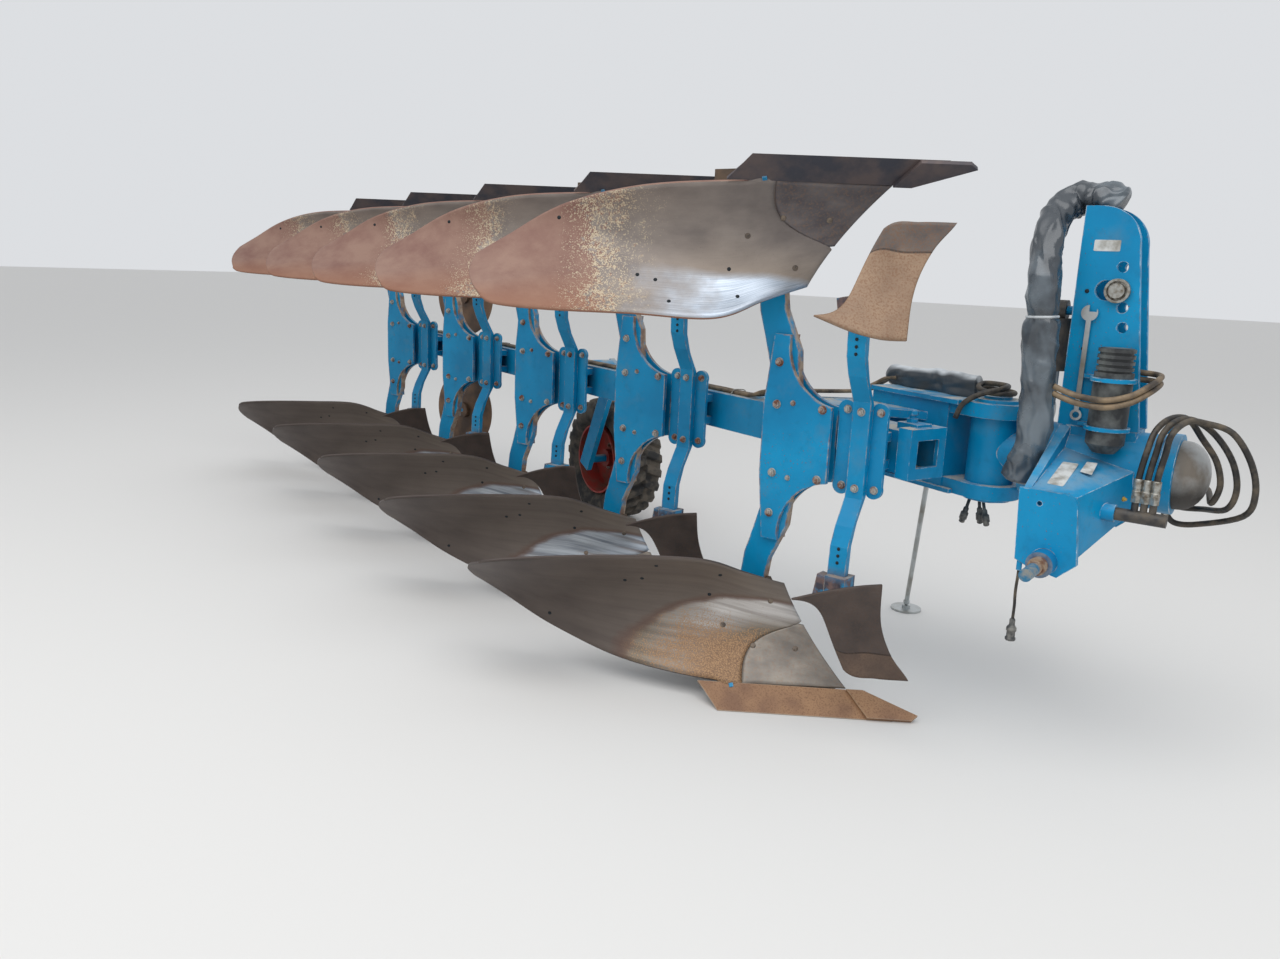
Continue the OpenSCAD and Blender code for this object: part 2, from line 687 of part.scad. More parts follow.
// Headstock
link_x = 905;
link_z = 650;
housing_x0 = 750;
housing_x1 = 1120;
housing_r = 115;
ring_l = 40;
valve_y = 180;
valve_z = mid_z - 100;
valve_x = 1045 + eps;
valve_port_x = [valve_x + 48, valve_x + 72, valve_x + 96];
tower_face = turnover_y - tower_gap/2 - head_plate_t;
tower_top = mid_z + tower_rise;
saddle_z = mid_z + housing_r + 5;
tower_back = 812;
tower_foot = 1046;
tower_brow = 977;
tower_round = 118;
module headstock_body() {
    color(blue) difference() {
        union() {
            translate([housing_x0, turnover_y, mid_z]) rotate([0, 90, 0])
                cylinder(h = housing_x1 - housing_x0, r = housing_r);
            translate([housing_x1, turnover_y, mid_z]) rotate([0, 90, 0])
                cylinder(h = ring_l, r = housing_r + 8);
            for (s = [-1, 1]) headstock_arm(s);
            translate([tower_back + 15, tower_face - 1, mid_z])
                cube([tower_foot - tower_back - 20, tower_gap + 2*head_plate_t + 2,
                    saddle_z - mid_z - eps]);
        }
        translate([housing_x0 - 1, turnover_y, mid_z]) rotate([0, 90, 0])
            cylinder(h = housing_x1 - housing_x0 + ring_l + 2, r = shaft_r + shaft_run);
    }
    color(blue) translate([1000, valve_y, valve_z]) rotate([0, 90, 0]) cylinder(h = 45, r = 26);
}

// Hollow arm from the housing out to an end plate. Its top falls forward and outward from
// a ridge along its back edge.
arm_end_t = 4;
arm_back = tower_back + 8;
module headstock_arm(s) {
    side = head_w/2 - head_plate_t - eps;
    inner = tower_gap/2 + head_plate_t + eps;
    //         outer end: x, bottom, top;          inner end: x, bottom, top
    for (part = [[[[plate_x[0] + 6, -230, -40], [plate_x[1] - 30, -245, -42]],
                  [[arm_back, -115, 62], [1050, -110, 15]]],
                 [[[plate_x[0] + 6, -230, -40]], [[arm_back, -115, 118], [arm_back + 12, -115, 114]]]])
        hull() for (end = [0, 1]) for (c = part[end])
            translate([c[0], turnover_y + s*(end == 0 ? side : inner)
                - ((s > 0) == (end == 0) ? arm_end_t : 0), mid_z + c[1]])
                cube([20, arm_end_t, c[2] - c[1]]);
}

// End plate with a rounded brow, and the gland that the lighting cable leaves
plate_x = [812, 978];
plate_round = 42;
gland_x = 837;
gland_r = 8;
gland_z = mid_z - 282;
module end_plates() {
    color(blue) for (s = [-1, 1])
        translate([0, turnover_y + s*(head_w/2 - head_plate_t/2) + head_plate_t/2, 0]) rotate([90, 0, 0])
            linear_extrude(head_plate_t) difference() {
                union() {
                    polygon([[plate_x[0], mid_z - 33], [823, mid_z - 248], [853, mid_z - 261],
                        [945, mid_z - 281], [plate_x[1] + 17, mid_z - 235],
                        [plate_x[1], mid_z - 33 - plate_round],
                        [plate_x[1] - plate_round, mid_z - 33]]);
                    translate([plate_x[1] - plate_round, mid_z - 33 - plate_round])
                        circle(r = plate_round);
                }
                translate([link_x, link_z]) circle(r = boss_pin_r + eps);
                translate([873, mid_z - 72]) circle(r = 7);
            }
    color(blue) translate([gland_x, turnover_y - head_w/2 + head_plate_t/2, gland_z])
        cylinder(h = 40, r = gland_r);
}

boss_pin_r = 38;
boss_pin_l = 50;
shoulder_r = 26;
shoulder_l = 24;
link_pin_l = 110;
module lower_link_pins() {
    color(blue) for (s = [-1, 1]) translate([link_x, turnover_y + s*head_w/2, link_z])
        rotate([s > 0 ? -90 : 90, 0, 0]) {
            translate([0, 0, -head_plate_t]) cylinder(h = head_plate_t + boss_pin_l, r = boss_pin_r);
            translate([0, 0, boss_pin_l]) cylinder(h = shoulder_l, r = shoulder_r);
            translate([0, 0, boss_pin_l + shoulder_l]) cylinder(h = link_pin_l, r = link_pin_r);
        }
}

// Top link holes [x, z] follow the tower's front edge; the second is a slot with its pin
top_holes = [[937, mid_z + 607], [951, mid_z + 488], [959, mid_z + 429]];
slot_at = [933, mid_z + 537];
slot_back = 34;
slot_r = 30;
cyl_top_z = mid_z + 470;
cyl_x = 765;
cyl_pin_r = 14;
rest_x = 868;
rest_r = 12;
rest_z = tower_top - 36;
stay_plate_x = 832;
module tower_outline() {
    polygon([[tower_back, saddle_z], [tower_foot, saddle_z], [tower_brow, tower_top - tower_round],
        [tower_brow - tower_round, tower_top], [tower_back, tower_top]]);
    intersection() {
        translate([tower_brow - tower_round, tower_top - tower_round]) circle(r = tower_round, $fn = 96);
        translate([tower_back, saddle_z]) square([2*tower_round, tower_top - saddle_z]);
    }
}

module tower() {
    color(blue) for (y = [tower_face + head_plate_t, turnover_y + tower_gap/2 + head_plate_t])
        translate([0, y, 0]) rotate([90, 0, 0]) linear_extrude(head_plate_t) difference() {
            tower_outline();
            for (q = top_holes) translate(q) circle(r = top_hole_r);
            translate(slot_at) circle(r = slot_r);
            translate(slot_at - [slot_back, 0]) circle(r = slot_r);
            translate(slot_at - [slot_back, slot_r]) square([slot_back, 2*slot_r]);
        }
    color(blue) {
        translate([stay_plate_x, turnover_y - tower_gap/2 - 2, cyl_top_z - 60])
            cube([15, tower_gap + 4, 120]);
        translate([cyl_x - 22, turnover_y, cyl_top_z]) rotate([0, 90, 0])
            cylinder(h = stay_plate_x + 2 - cyl_x + 22, r = cyl_pin_r);
        translate([rest_x, turnover_y, rest_z]) rotate([90, 0, 0])
            cylinder(h = tower_gap + 4, r = rest_r, center = true);
    }
}

// Top link pin, parked in its slot, with a bush at each end
bush_r = 36;
bush_l = 16;
module top_link_pin() {
    half = tower_gap/2 + head_plate_t + eps;
    color(grey) translate([slot_at[0], turnover_y, slot_at[1]]) rotate([90, 0, 0]) {
        cylinder(h = 2*half + 2*bush_l + 16, r = 22, center = true);
        for (s = [-1, 1]) translate([0, 0, s * (half + bush_l/2)])
            difference() {
                cylinder(h = bush_l, r = bush_r, center = true);
                if (s > 0) translate([0, 0, 3]) cylinder(h = bush_l, r = 29, center = true);
            }
    }
}

cap_r = 106;
cap_l = 87;
module hub_cap() {
    color(grey) translate([housing_x1 + ring_l + eps, turnover_y, mid_z]) rotate([0, 90, 0])
        rotate_extrude() polygon(concat([[0, 0], [cap_r, 0]],
            [for (k = [1:8]) [cap_r * cos(k * 11.25), 12 + (cap_l - 12) * sin(k * 11.25)]]));
}

crank_r = 150;
rod_r = 16;
module turnover_barrel() {
    color(dark) translate([cyl_x, turnover_y, 0]) difference() {
        union() {
            translate([0, 0, cyl_top_z - 190]) cylinder(h = 165, r = 36);
            translate([0, 0, cyl_top_z]) rotate([0, 90, 0]) cylinder(h = 34, r = 32, center = true);
        }
        translate([0, 0, cyl_top_z]) rotate([0, 90, 0])
            cylinder(h = 40, r = cyl_pin_r + shaft_run, center = true);
        translate([0, 0, cyl_top_z - 191]) cylinder(h = 150, r = rod_r + shaft_run);
    }
}

module turnover_rod() {
    color(grey) translate([cyl_x, turnover_y, 0]) {
        translate([0, 0, mid_z + crank_r + 20]) cylinder(h = 130, r = rod_r);
        translate([0, 0, mid_z + crank_r]) rotate([0, 90, 0]) cylinder(h = 28, r = 30, center = true);
        translate([flange_x + 28 + eps - cyl_x, 0, mid_z + crank_r]) rotate([0, 90, 0])
            cylinder(h = 20, r = 14);
    }
}

// Valve bar with three upright hose fittings
module valve() {
    color(dark) {
        translate([valve_x, valve_y, valve_z]) rotate([0, 90, 0]) cylinder(h = 135, r = 19);
        for (x = valve_port_x) translate([x, valve_y, valve_z + 10]) cylinder(h = 52, r = 10);
    }
}

canister_r = 55;
canister_x = 968;
ring_w = 9;
canister_y = tower_face - canister_r - ring_w - eps;
canister_z0 = mid_z + 86;
canister_z1 = mid_z + 300;
canister_foot_h = 28;
canister_foot_r = 32;
lid_ribs = 4;
lid_rib_h = 18;
module canister() {
    color(dark) translate([canister_x, canister_y, 0]) {
        translate([0, 0, canister_z0]) cylinder(h = canister_z1 - canister_z0, r = canister_r);
        translate([0, 0, canister_z0 - canister_foot_h])
            cylinder(h = canister_foot_h, r1 = canister_foot_r, r2 = canister_r);
        for (k = [0:lid_ribs-1]) translate([0, 0, canister_z1 + k*lid_rib_h]) {
            translate([0, 0, -1]) cylinder(h = lid_rib_h + 1, r = canister_r - 9);
            translate([0, 0, 6]) cylinder(h = lid_rib_h - 8, r = canister_r - 3);
        }
    }
}

// Two rings hold the canister, with a lug each that keeps the spanner upright
ring_z = [mid_z + 126, mid_z + 272];
ring_t = 12;
module canister_rings() {
    plate_y = tower_face - eps;
    lug_x = spanner_x + spanner_w/2 + eps;
    color(blue) for (z = ring_z) translate([canister_x, canister_y, z]) difference() {
        union() {
            cylinder(h = ring_t, r = canister_r + ring_w);
            translate([-20, 0, 0]) cube([40, plate_y - canister_y, ring_t]);
            translate([lug_x - canister_x, plate_y - canister_y - 14, 0])
                cube([canister_x - lug_x, 14, ring_t]);
        }
        translate([0, 0, -1]) cylinder(h = ring_t + 2, r = canister_r + eps);
    }
}

// Combination spanner hung beside the canister, leaning out to the arm's top
spanner_x = 866;
spanner_w = 14;
spanner_l = 312;
module spanner() {
    color(grey) translate([spanner_x, tower_face - 10, mid_z + 468]) rotate([90, 0, 0])
        linear_extrude(8) difference() {
            union() {
                translate([-spanner_w/2, -spanner_l]) square([spanner_w, spanner_l]);
                circle(r = 24);
                translate([0, -spanner_l]) circle(r = 17);
            }
            translate([-2, 4]) square([22, 22], center = false);
            translate([0, -spanner_l]) circle(r = 10);
        }
}

// Bent rod on the housing that the hose loops lie over
hook_x = 1108;
hook_y = turnover_y - 62;
hook_r = 7;
// The housing's height under the rod's inner edge
hook_foot = sqrt(pow(housing_r, 2) - pow(turnover_y - hook_y - hook_r, 2)) + eps;
module hose_hook() {
    color(blue) {
        translate([hook_x, hook_y, mid_z + hook_foot]) cylinder(h = 122 - hook_foot, r = hook_r);
        bar([hook_x, hook_y, mid_z + 120], [hook_x + 58, hook_y, mid_z + 186], hook_r);
    }
}

// A tube of round section swept along hand-chosen points
function tangent(p, k) = unit(p[min(len(p)-1, k+1)] - p[max(0, k-1)]);
function side_of(t) = unit(cross(t, abs(t[1]) > 0.9 ? [1, 0, 0] : [0, 1, 0]));
function smooth_path(p, steps) = [for (k = [0:len(p)-2]) for (j = [0:steps-1])
    spline4(p[max(0, k-1)], p[k], p[k+1], p[min(len(p)-1, k+2)], j/steps), p[len(p)-1]];
module tube(p, r, sides) {
    n = len(p);
    rings = [for (k = [0:n-1]) let (t = tangent(p, k), u = side_of(t), w = cross(t, u))
        for (i = [0:sides-1]) p[k] + r*(cos(i*360/sides)*u + sin(i*360/sides)*w)];
    polyhedron(points = concat(rings, [p[0], p[n-1]]),
        faces = concat(
            [for (k = [0:n-2]) for (i = [0:sides-1])
                [k*sides + i, k*sides + (i+1)%sides, (k+1)*sides + i]],
            [for (k = [0:n-2]) for (i = [0:sides-1])
                [k*sides + (i+1)%sides, (k+1)*sides + (i+1)%sides, (k+1)*sides + i]],
            [for (i = [0:sides-1]) [n*sides, (i+1)%sides, i]],
            [for (i = [0:sides-1]) [n*sides+1, (n-1)*sides + i, (n-1)*sides + (i+1)%sides]]),
        convexity = 8);
}

function lifted(points) = [for (q = points) [q[0], q[1], mid_z + q[2]]];
// Protective sleeve: up behind the tower and over the rest between its plates
sleeve_r = 42;
sleeve_points = [[748, 198, -52], [762, 198, 10], [783, 200, 110], [775, 200, 250],
    [766, 200, 400], [757, 206, 540], [738, 262, 670], [732, 345, 752], [758, 410, 800],
    [815, 420, 812], [870, 420, 812], [925, 420, 786]];
module hose_sleeve() {
    color(dark) tube(smooth_path(lifted(sleeve_points), 2), sleeve_r, 10);
}

// Hoses rise from the valve, lie over the hook, hang in front of the cap and run back to
// the housing's far side. Each row shifts the route and sets how wide its loop hangs.
hose_r = 9;
loop_points = [[0, 0, -35], [0, 2, 20], [8, 12, 90], [18, 40, 150], [42, 110, 182],
    [80, 165, 178], [135, 175, 140], [185, 182, 70], [205, 195, -10], [185, 220, -75]];
//            along, sideways, width of the loop, angle at which it meets the housing's ring
loop_rows = [[0, 0, 0.9, -20], [24, -22, 1.0, -45], [48, -44, 1.12, -70]];
// Ends of the loops about the housing: [in front of the ring's middle, out from the ring]
landing = [[85, 40], [25, 48], [0, 22], [0, eps]];
function loop_path(row) =
    concat([for (j = [0:len(loop_points)-1])
        let (q = loop_points[j], w = j > 5 ? row[2] : 1, side = j > 2 ? row[1] : 0)
        [valve_port_x[0] + row[0] + q[0] * w, valve_y + q[1] + side, mid_z + q[2] * w]],
        [for (q = landing) let (r = housing_r + 8 + q[1])
            [housing_x1 + ring_l/2 + q[0], turnover_y + r*cos(row[3]), mid_z + r*sin(row[3])]]);
module front_hoses() {
    color(dark) for (row = loop_rows) tube(loop_path(row), hose_r, 8);
}

// Two more leave the turnover cylinder and wrap the canister
wrap_points = [[802.5, 420, 312], [900, 420, 300], [1030, 420, 296], [1072, 395, 294],
    [1084, 340, 290], [1070, 270, 270], [1030, 226, 240], [968, 212, 222], [900, 207, 226],
    [855, 202, 238], [823, 200, 250]];
wrap_gap = 21;
module wrap_hoses() {
    color(dark) for (k = [0, 1])
        tube(lifted([for (q = wrap_points) q - [0, 0, k * wrap_gap]]), hose_r, 8);
}

// Hoses in their sleeve on top of the swing arm
arm_sleeve_r = 30;
arm_sleeve_back = 90;
arm_sleeve_rings = 9;
module arm_sleeve() {
    z = arm_h/2 + arm_flange_t + 0.5 + arm_sleeve_r + eps;
    run = arm_l - arm_sleeve_back;
    color(dark) at_arm() tube([for (k = [0:arm_sleeve_rings]) [-arm_sleeve_back - k * run / arm_sleeve_rings,
        10 * sin(k * 80), z + 1.5 * (1 + cos(k * 90))]], arm_sleeve_r, 10);
}

cable_r = 4.5;
cable_points = [[837, 19, 607], [837, 19, 585], [836, 19, 560], [836, 19, 530], [838, 19, 500],
    [838, 19, 475], [838, 19, 457]];
module hanging_cable() {
    color(dark) tube(smooth_path(cable_points, 2), cable_r, 8);
}

plug_r = 16;
plug_h = 70;
module cable_plug() {
    color(dark) translate(cable_points[len(cable_points)-1] - [0, 0, plug_h + eps])
        cylinder(h = plug_h, r = plug_r);
}

// The origin lies under the middle of the plough, without its free hoses and cable
x_high = housing_x1 + ring_l + eps + cap_l;
x_low = -(body_count - 1) * body_spacing - tail_back;
y_low = -tail_right;
y_high = beam_offset + beam_half * cos(beam_angle)
    + ((body_count - 1) * body_spacing + beam_back) * furrow_w / body_spacing;
origin_x = -(x_high + x_low) / 2;
origin_y = -(y_high + y_low) / 2;

place() main_beam();
place() beam_end();
place() swing_arm();
place() arm_pivot();
place() turnover_shaft();
place() for (i = [0:body_count-1]) at_station(i) leg_console();  // leg_consoles
for (i = [0:body_count-1]) {
    place() at_station(i) leg_plates();
    place() at_station(i) both_rows() moldboard();
}
place() for (i = [0:body_count-1]) at_station(i) stalk();  // lower_stalks
place() for (i = [0:body_count-1]) at_station(i)  // upper_stalks
        translate([0, 0, overall_h]) mirror([0, 0, 1]) stalk();
place() for (i = [0:body_count-1]) at_station(i) both_rows() frog();  // frogs
place() for (i = [0:body_count-1]) at_station(i) both_rows() landside();  // landsides
place() for (i = [0:body_count-1]) at_station(i) both_rows() shin();  // shins
place() for (i = [0:body_count-1]) at_station(i) both_rows() share_blade();  // share_blades
place() for (i = [0:body_count-1]) at_station(i) both_rows() share_point();  // share_points
place() for (i = [0:body_count-1]) at_station(i) skimmer_bracket();  // skimmer_brackets
place() for (i = [0:body_count-1]) at_station(i) skimmer_stalk();  // skimmer_stalks
place() for (i = [0:body_count-1]) at_station(i) both_rows() skimmer_board();  // skimmer_boards
place() both_rows() disc_bracket();  // disc_brackets
place() disc(disc_z);  // lower_disc
place() disc(overall_h - disc_z);  // upper_disc
place() wheel_bracket();
place() wheel_arm();
place() tyre();
place() wheel_rim();
place() stand_bracket();
place() stand_rod();
place() stand_foot();
place() headstock_body();
place() end_plates();
place() lower_link_pins();
place() tower();
place() top_link_pin();
place() hub_cap();
place() turnover_barrel();
place() turnover_rod();
place() valve();
place() canister();
place() canister_rings();
place() spanner();
place() hose_hook();
place() hose_sleeve();
place() front_hoses();
place() wrap_hoses();
place() arm_sleeve();
place() hanging_cable();
place() cable_plug();
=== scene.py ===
import math
import bpy
import numpy as np
from mathutils import Matrix, Vector


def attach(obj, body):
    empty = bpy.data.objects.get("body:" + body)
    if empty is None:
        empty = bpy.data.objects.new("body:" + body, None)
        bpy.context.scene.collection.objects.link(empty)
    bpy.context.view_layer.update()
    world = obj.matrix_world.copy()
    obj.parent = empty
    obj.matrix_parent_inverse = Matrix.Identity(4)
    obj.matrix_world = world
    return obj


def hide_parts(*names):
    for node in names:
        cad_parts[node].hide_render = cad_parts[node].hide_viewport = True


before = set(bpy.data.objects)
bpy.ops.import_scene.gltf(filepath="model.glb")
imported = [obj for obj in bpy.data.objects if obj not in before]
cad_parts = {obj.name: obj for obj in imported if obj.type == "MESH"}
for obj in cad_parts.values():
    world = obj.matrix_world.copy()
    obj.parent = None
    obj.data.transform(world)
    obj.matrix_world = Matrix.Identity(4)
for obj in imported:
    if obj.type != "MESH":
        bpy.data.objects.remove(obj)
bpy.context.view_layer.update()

# The camera stands to the right of the plough and ahead of its first body, a little
# above the beam, and looks back along the row, as the photograph was taken.
# Points below are measured from the first leg's shear bolts; STATION moves them here.
STATION = np.array([1.62935, -0.5421, 0.0])
MID_Z = 0.89
camera_data = bpy.data.cameras.new("camera")
film_width, focal_pixels, photo_pixels = 36.0, 976, 1280
camera_data.lens = film_width * focal_pixels / photo_pixels
camera_data.sensor_width = film_width
camera = bpy.data.objects.new("camera", camera_data)
bpy.context.scene.collection.objects.link(camera)
heading, down_tilt, roll = math.radians(126.41), math.radians(12.22), math.radians(-2.47)
look = Vector((math.cos(heading) * math.cos(down_tilt),
               math.sin(heading) * math.cos(down_tilt), -math.sin(down_tilt)))
level_right = Vector((math.sin(heading), -math.cos(heading), 0))
level_down = look.cross(level_right)
image_right = math.cos(roll) * level_right + math.sin(roll) * level_down
image_down = -math.sin(roll) * level_right + math.cos(roll) * level_down
turn = Matrix((image_right, -image_down, -look)).transposed().to_4x4()
stand_point = Vector(STATION + [1.576, -2.891, 1.434])
camera.matrix_world = Matrix.Translation(stand_point) @ turn
bpy.context.scene.camera = camera


def shade(screen):
    """Linear colour of a screen colour, whose three numbers go from 0 to 255."""
    return tuple(((c / 255 + 0.055) / 1.055) ** 2.4 if c > 10 else c / 3295
                 for c in screen) + (1.0,)


class Finish:
    """A node material for one of the plough's finishes. What a method takes may be a
    socket, which it links, or a plain number or colour, which it sets on the node. A colour
    of three numbers is a screen colour, one of four is linear. fade goes from one colour
    a share of the way to another as value goes from low to high. oval is 1 on an ellipse
    and less inside it, and edge falls below 1 along the piece's edges."""

    def __init__(self, name, metallic=0.0, roughness=0.5):
        self.material = bpy.data.materials.new(name)
        self.material.use_nodes = True
        self.tree = self.material.node_tree
        self.shader = self.tree.nodes["Principled BSDF"]
        self.shader.inputs["Metallic"].default_value = metallic
        self.shader.inputs["Roughness"].default_value = roughness
        where = self.add("ShaderNodeTexCoord").outputs
        self.place, self.uv, self.facing = where["Object"], where["UV"], where["Normal"]

    def give(self, socket, value):
        if isinstance(value, bpy.types.NodeSocket):
            self.tree.links.new(value, socket)
        else:
            screen = isinstance(value, tuple) and len(value) == 3
            socket.default_value = shade(value) if screen else value

    def add(self, kind, inputs=None, **settings):
        node = self.tree.nodes.new(kind)
        for key, value in settings.items():
            setattr(node, key, value)
        for key, value in (inputs or {}).items():
            self.give(node.inputs[key], value)
        return node

    def reckon(self, operation, a, b=0.0):
        return self.add("ShaderNodeMath", {0: a, 1: b}, operation=operation).outputs[0]

    def plus(self, a, b):
        return self.reckon("ADD", a, b)

    def less(self, a, b):
        return self.reckon("SUBTRACT", a, b)

    def times(self, a, b):
        return self.reckon("MULTIPLY", a, b)

    def oval(self, u, v, half_u, half_v):
        a, b = self.reckon("DIVIDE", u, half_u), self.reckon("DIVIDE", v, half_v)
        return self.reckon("SQRT", self.plus(self.times(a, a), self.times(b, b)))

    def part(self, vector, number):
        return self.add("ShaderNodeSeparateXYZ", {0: vector}).outputs[number]

    def edge(self, width, samples):
        rounded = self.add("ShaderNodeBevel", {"Radius": width}, samples=samples).outputs[0]
        flat = self.add("ShaderNodeNewGeometry").outputs["Normal"]
        return self.add("ShaderNodeVectorMath", {0: rounded, 1: flat},
                        operation="DOT_PRODUCT").outputs["Value"]

    def mix(self, share, low, high):
        return self.add("ShaderNodeMix", {0: share, 6: low, 7: high}, data_type="RGBA").outputs[2]

    def noise(self, scale, detail=4.0, where=None, rough=0.55):
        return self.add("ShaderNodeTexNoise", {"Vector": where or self.place, "Scale": scale,
                                               "Detail": detail, "Roughness": rough}).outputs["Fac"]

    def ramp(self, value, low, high, first=0.0, last=1.0):
        return self.add("ShaderNodeMapRange", {0: value, 1: low, 2: high, 3: first, 4: last},
                        clamp=True).outputs[0]

    def fade(self, value, low, high, first, last, share=1.0):
        return self.mix(self.ramp(value, low, high, 0.0, share), first, last)

    def stretch(self, x, y):
        return self.add("ShaderNodeMapping",
                        {"Vector": self.uv, "Scale": Vector((x, y, 1))}).outputs[0]

    def bump(self, height, strength=0.3, depth=0.002):
        node = self.add("ShaderNodeBump",
                        {"Height": height, "Strength": strength, "Distance": depth})
        self.give(self.shader.inputs["Normal"], node.outputs[0])

    def put(self, **sockets):
        for name, value in sockets.items():
            self.give(self.shader.inputs[name.replace("_", " ")], value)
        return self.material


# A pale matt floor with soft light from all round and one broad lamp from above, so
# that paint, rust and polished steel show about as their colours are written.
floor_mesh = bpy.data.meshes.new("floor")
half_floor, under = 60, -0.001
floor_mesh.from_pydata([(x * half_floor, y * half_floor, under)
                        for x, y in ((-1, -1), (1, -1), (1, 1), (-1, 1))], [], [(0, 1, 2, 3)])
floor = bpy.data.objects.new("floor", floor_mesh)
bpy.context.scene.collection.objects.link(floor)
floor_finish = Finish("studio_floor", roughness=0.9)
floor_mesh.materials.append(floor_finish.put(Base_Color=(0.72, 0.71, 0.69, 1)))
world = bpy.data.worlds.new("studio")
bpy.context.scene.world = world
world.use_nodes = True
sky = world.node_tree.nodes["Background"]
sky.inputs["Color"].default_value = (0.90, 0.92, 0.95, 1)
sky.inputs["Strength"].default_value = 0.8
lamp_data = bpy.data.lights.new("softbox", "AREA")
lamp_data.shape = "RECTANGLE"
lamp_data.size, lamp_data.size_y = 9.0, 6.0
lamp_data.energy = 330
lamp = bpy.data.objects.new("softbox", lamp_data)
bpy.context.scene.collection.objects.link(lamp)
lamp.location = (2.0, -3.5, 6.5)
lamp.rotation_euler = Vector((-1.2, 3.2, -5.6)).to_track_quat("-Z", "Y").to_euler()
bpy.context.scene.view_settings.view_transform = "Standard"


# The lighting cable hangs from the headstock's right end plate: thin rubber flex that
# runs straight down to its moulded plug.
def linked_mesh(name, points, faces, body, slot, material, smooth=True, uv=None):
    """A mesh object in the row's frame from points (metres) and faces, that rides on a
    CAD body and takes its finish from material. slot is not used. uv gives a pair of
    surface coordinates for each point."""
    mesh = bpy.data.meshes.new(name)
    mesh.from_pydata(np.asarray(points, float).tolist(), [], [list(map(int, f)) for f in faces])
    if smooth:
        mesh.polygons.foreach_set("use_smooth", [True] * len(mesh.polygons))
    if uv is not None:
        corner = np.zeros(len(mesh.loops), np.int32)
        mesh.loops.foreach_get("vertex_index", corner)
        mesh.uv_layers.new(name="surface").data.foreach_set(
            "uv", np.asarray(uv, np.float32)[corner].ravel())
    mesh.materials.append(material)
    piece = bpy.data.objects.new(name, mesh)
    bpy.context.scene.collection.objects.link(piece)
    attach(piece, body)
    return piece


def finish_nodes(material, *names):
    """Gives CAD nodes their finish."""
    for name in names:
        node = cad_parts[name]
        if not node.material_slots:
            node.data.materials.append(material)
        for place in node.material_slots:
            place.material = material


def bend(p, q, r, s, u):
    """Catmull-Rom curve from q to r as u goes from 0 to 1, with p before and s after:
    0.5 (2q + (r-p) u + (2p-5q+4r-s) u^2 + (3q-p-3r+s) u^3)."""
    return 0.5 * (2 * q + (r - p) * u + (2 * p - 5 * q + 4 * r - s) * u ** 2
                  + (3 * q - p - 3 * r + s) * u ** 3)


def rope_path(points, steps):
    """Smooth path through points: a bend between each two, in that many steps."""
    p = np.asarray(points, float)
    p = np.concatenate([p[:1], p, p[-1:]])
    u = (np.arange(steps) / steps)[None, :, None]
    way = bend(*(p[k:len(p) - 3 + k][:, None, :] for k in range(4)), u)
    return np.concatenate([way.reshape(-1, 3), p[-1:]])


def skin(rings, first, last):
    """Closed skin over rings of points (ring, corner, xyz), each end closed in a point."""
    n, sides = rings.shape[:2]
    index = np.arange(n * sides).reshape(n, sides)
    nxt = np.roll(index, -1, axis=1)
    body = np.stack([index[:-1], nxt[:-1], nxt[1:], index[1:]], -1).reshape(-1, 4)
    start = np.stack([np.full(sides, n * sides), nxt[0], index[0]], -1)
    end = np.stack([np.full(sides, n * sides + 1), index[-1], nxt[-1]], -1)
    return (np.concatenate([rings.reshape(-1, 3), [first, last]]),
            body.tolist() + start.tolist() + end.tolist())


def tube_surface(path, radius, sides):
    """Closed tube: at each path point a ring of radius r(s, angle) at right angles to the
    path. It is carried along without twist: a ring starts where the one before it did,
    less what of that direction lies along the path."""
    path = np.asarray(path, float)
    tangent = np.gradient(path, axis=0)
    tangent /= np.linalg.norm(tangent, axis=1)[:, None]
    normal = np.cross(tangent[0], [0.0, 1.0, 0.2])
    normals = []
    for t in tangent:
        normal = normal - np.dot(normal, t) * t
        normal /= np.linalg.norm(normal)
        normals.append(normal)
    u = np.array(normals)
    v = np.cross(tangent, u)
    angle = np.arange(sides) * 2 * math.pi / sides
    r = np.broadcast_to(radius, (len(path), sides))[:, :, None]
    rings = path[:, None, :] + r * (np.cos(angle)[None, :, None] * u[:, None, :]
                                    + np.sin(angle)[None, :, None] * v[:, None, :])
    return skin(rings, path[0], path[-1])


def clouded(name, noise, edges, low, high, metallic=0.0, roughness=0.5, rough=None, bump=None):
    """A finish that clouds over from the screen colour low to high, where noise (scale,
    detail) goes from one of the edges to the other. rough gives the roughness of the two,
    and bump a grain: its noise, strength and depth in metres."""
    f = Finish(name, metallic, roughness)
    cloud = f.ramp(f.noise(*noise), *edges)
    if rough:
        f.put(Roughness=f.ramp(cloud, 0, 1, *rough))
    if bump:
        f.bump(f.noise(*bump[:2]), *bump[2:])
    return f.put(Base_Color=f.mix(cloud, low, high))


hose_rubber = clouded("hose_rubber", (24, 6), (0.42, 0.68), (34, 32, 30), (96, 86, 72),
                      rough=(0.45, 0.8), bump=(160, 3, 0.25, 0.0008))
cable_diameter = 0.009
cable_points = np.array([[837, 19, 607], [837, 19, 585], [836, 19, 560], [836, 19, 530],
                         [838, 19, 500], [838, 19, 475], [838, 19, 457]]) / 1000 + STATION
cable_path = rope_path(cable_points, 4)
cable = linked_mesh("lighting_cable", *tube_surface(cable_path, cable_diameter / 2, 12),
                    "headstock", "hose_rubber", hose_rubber)
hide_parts("hanging_cable")


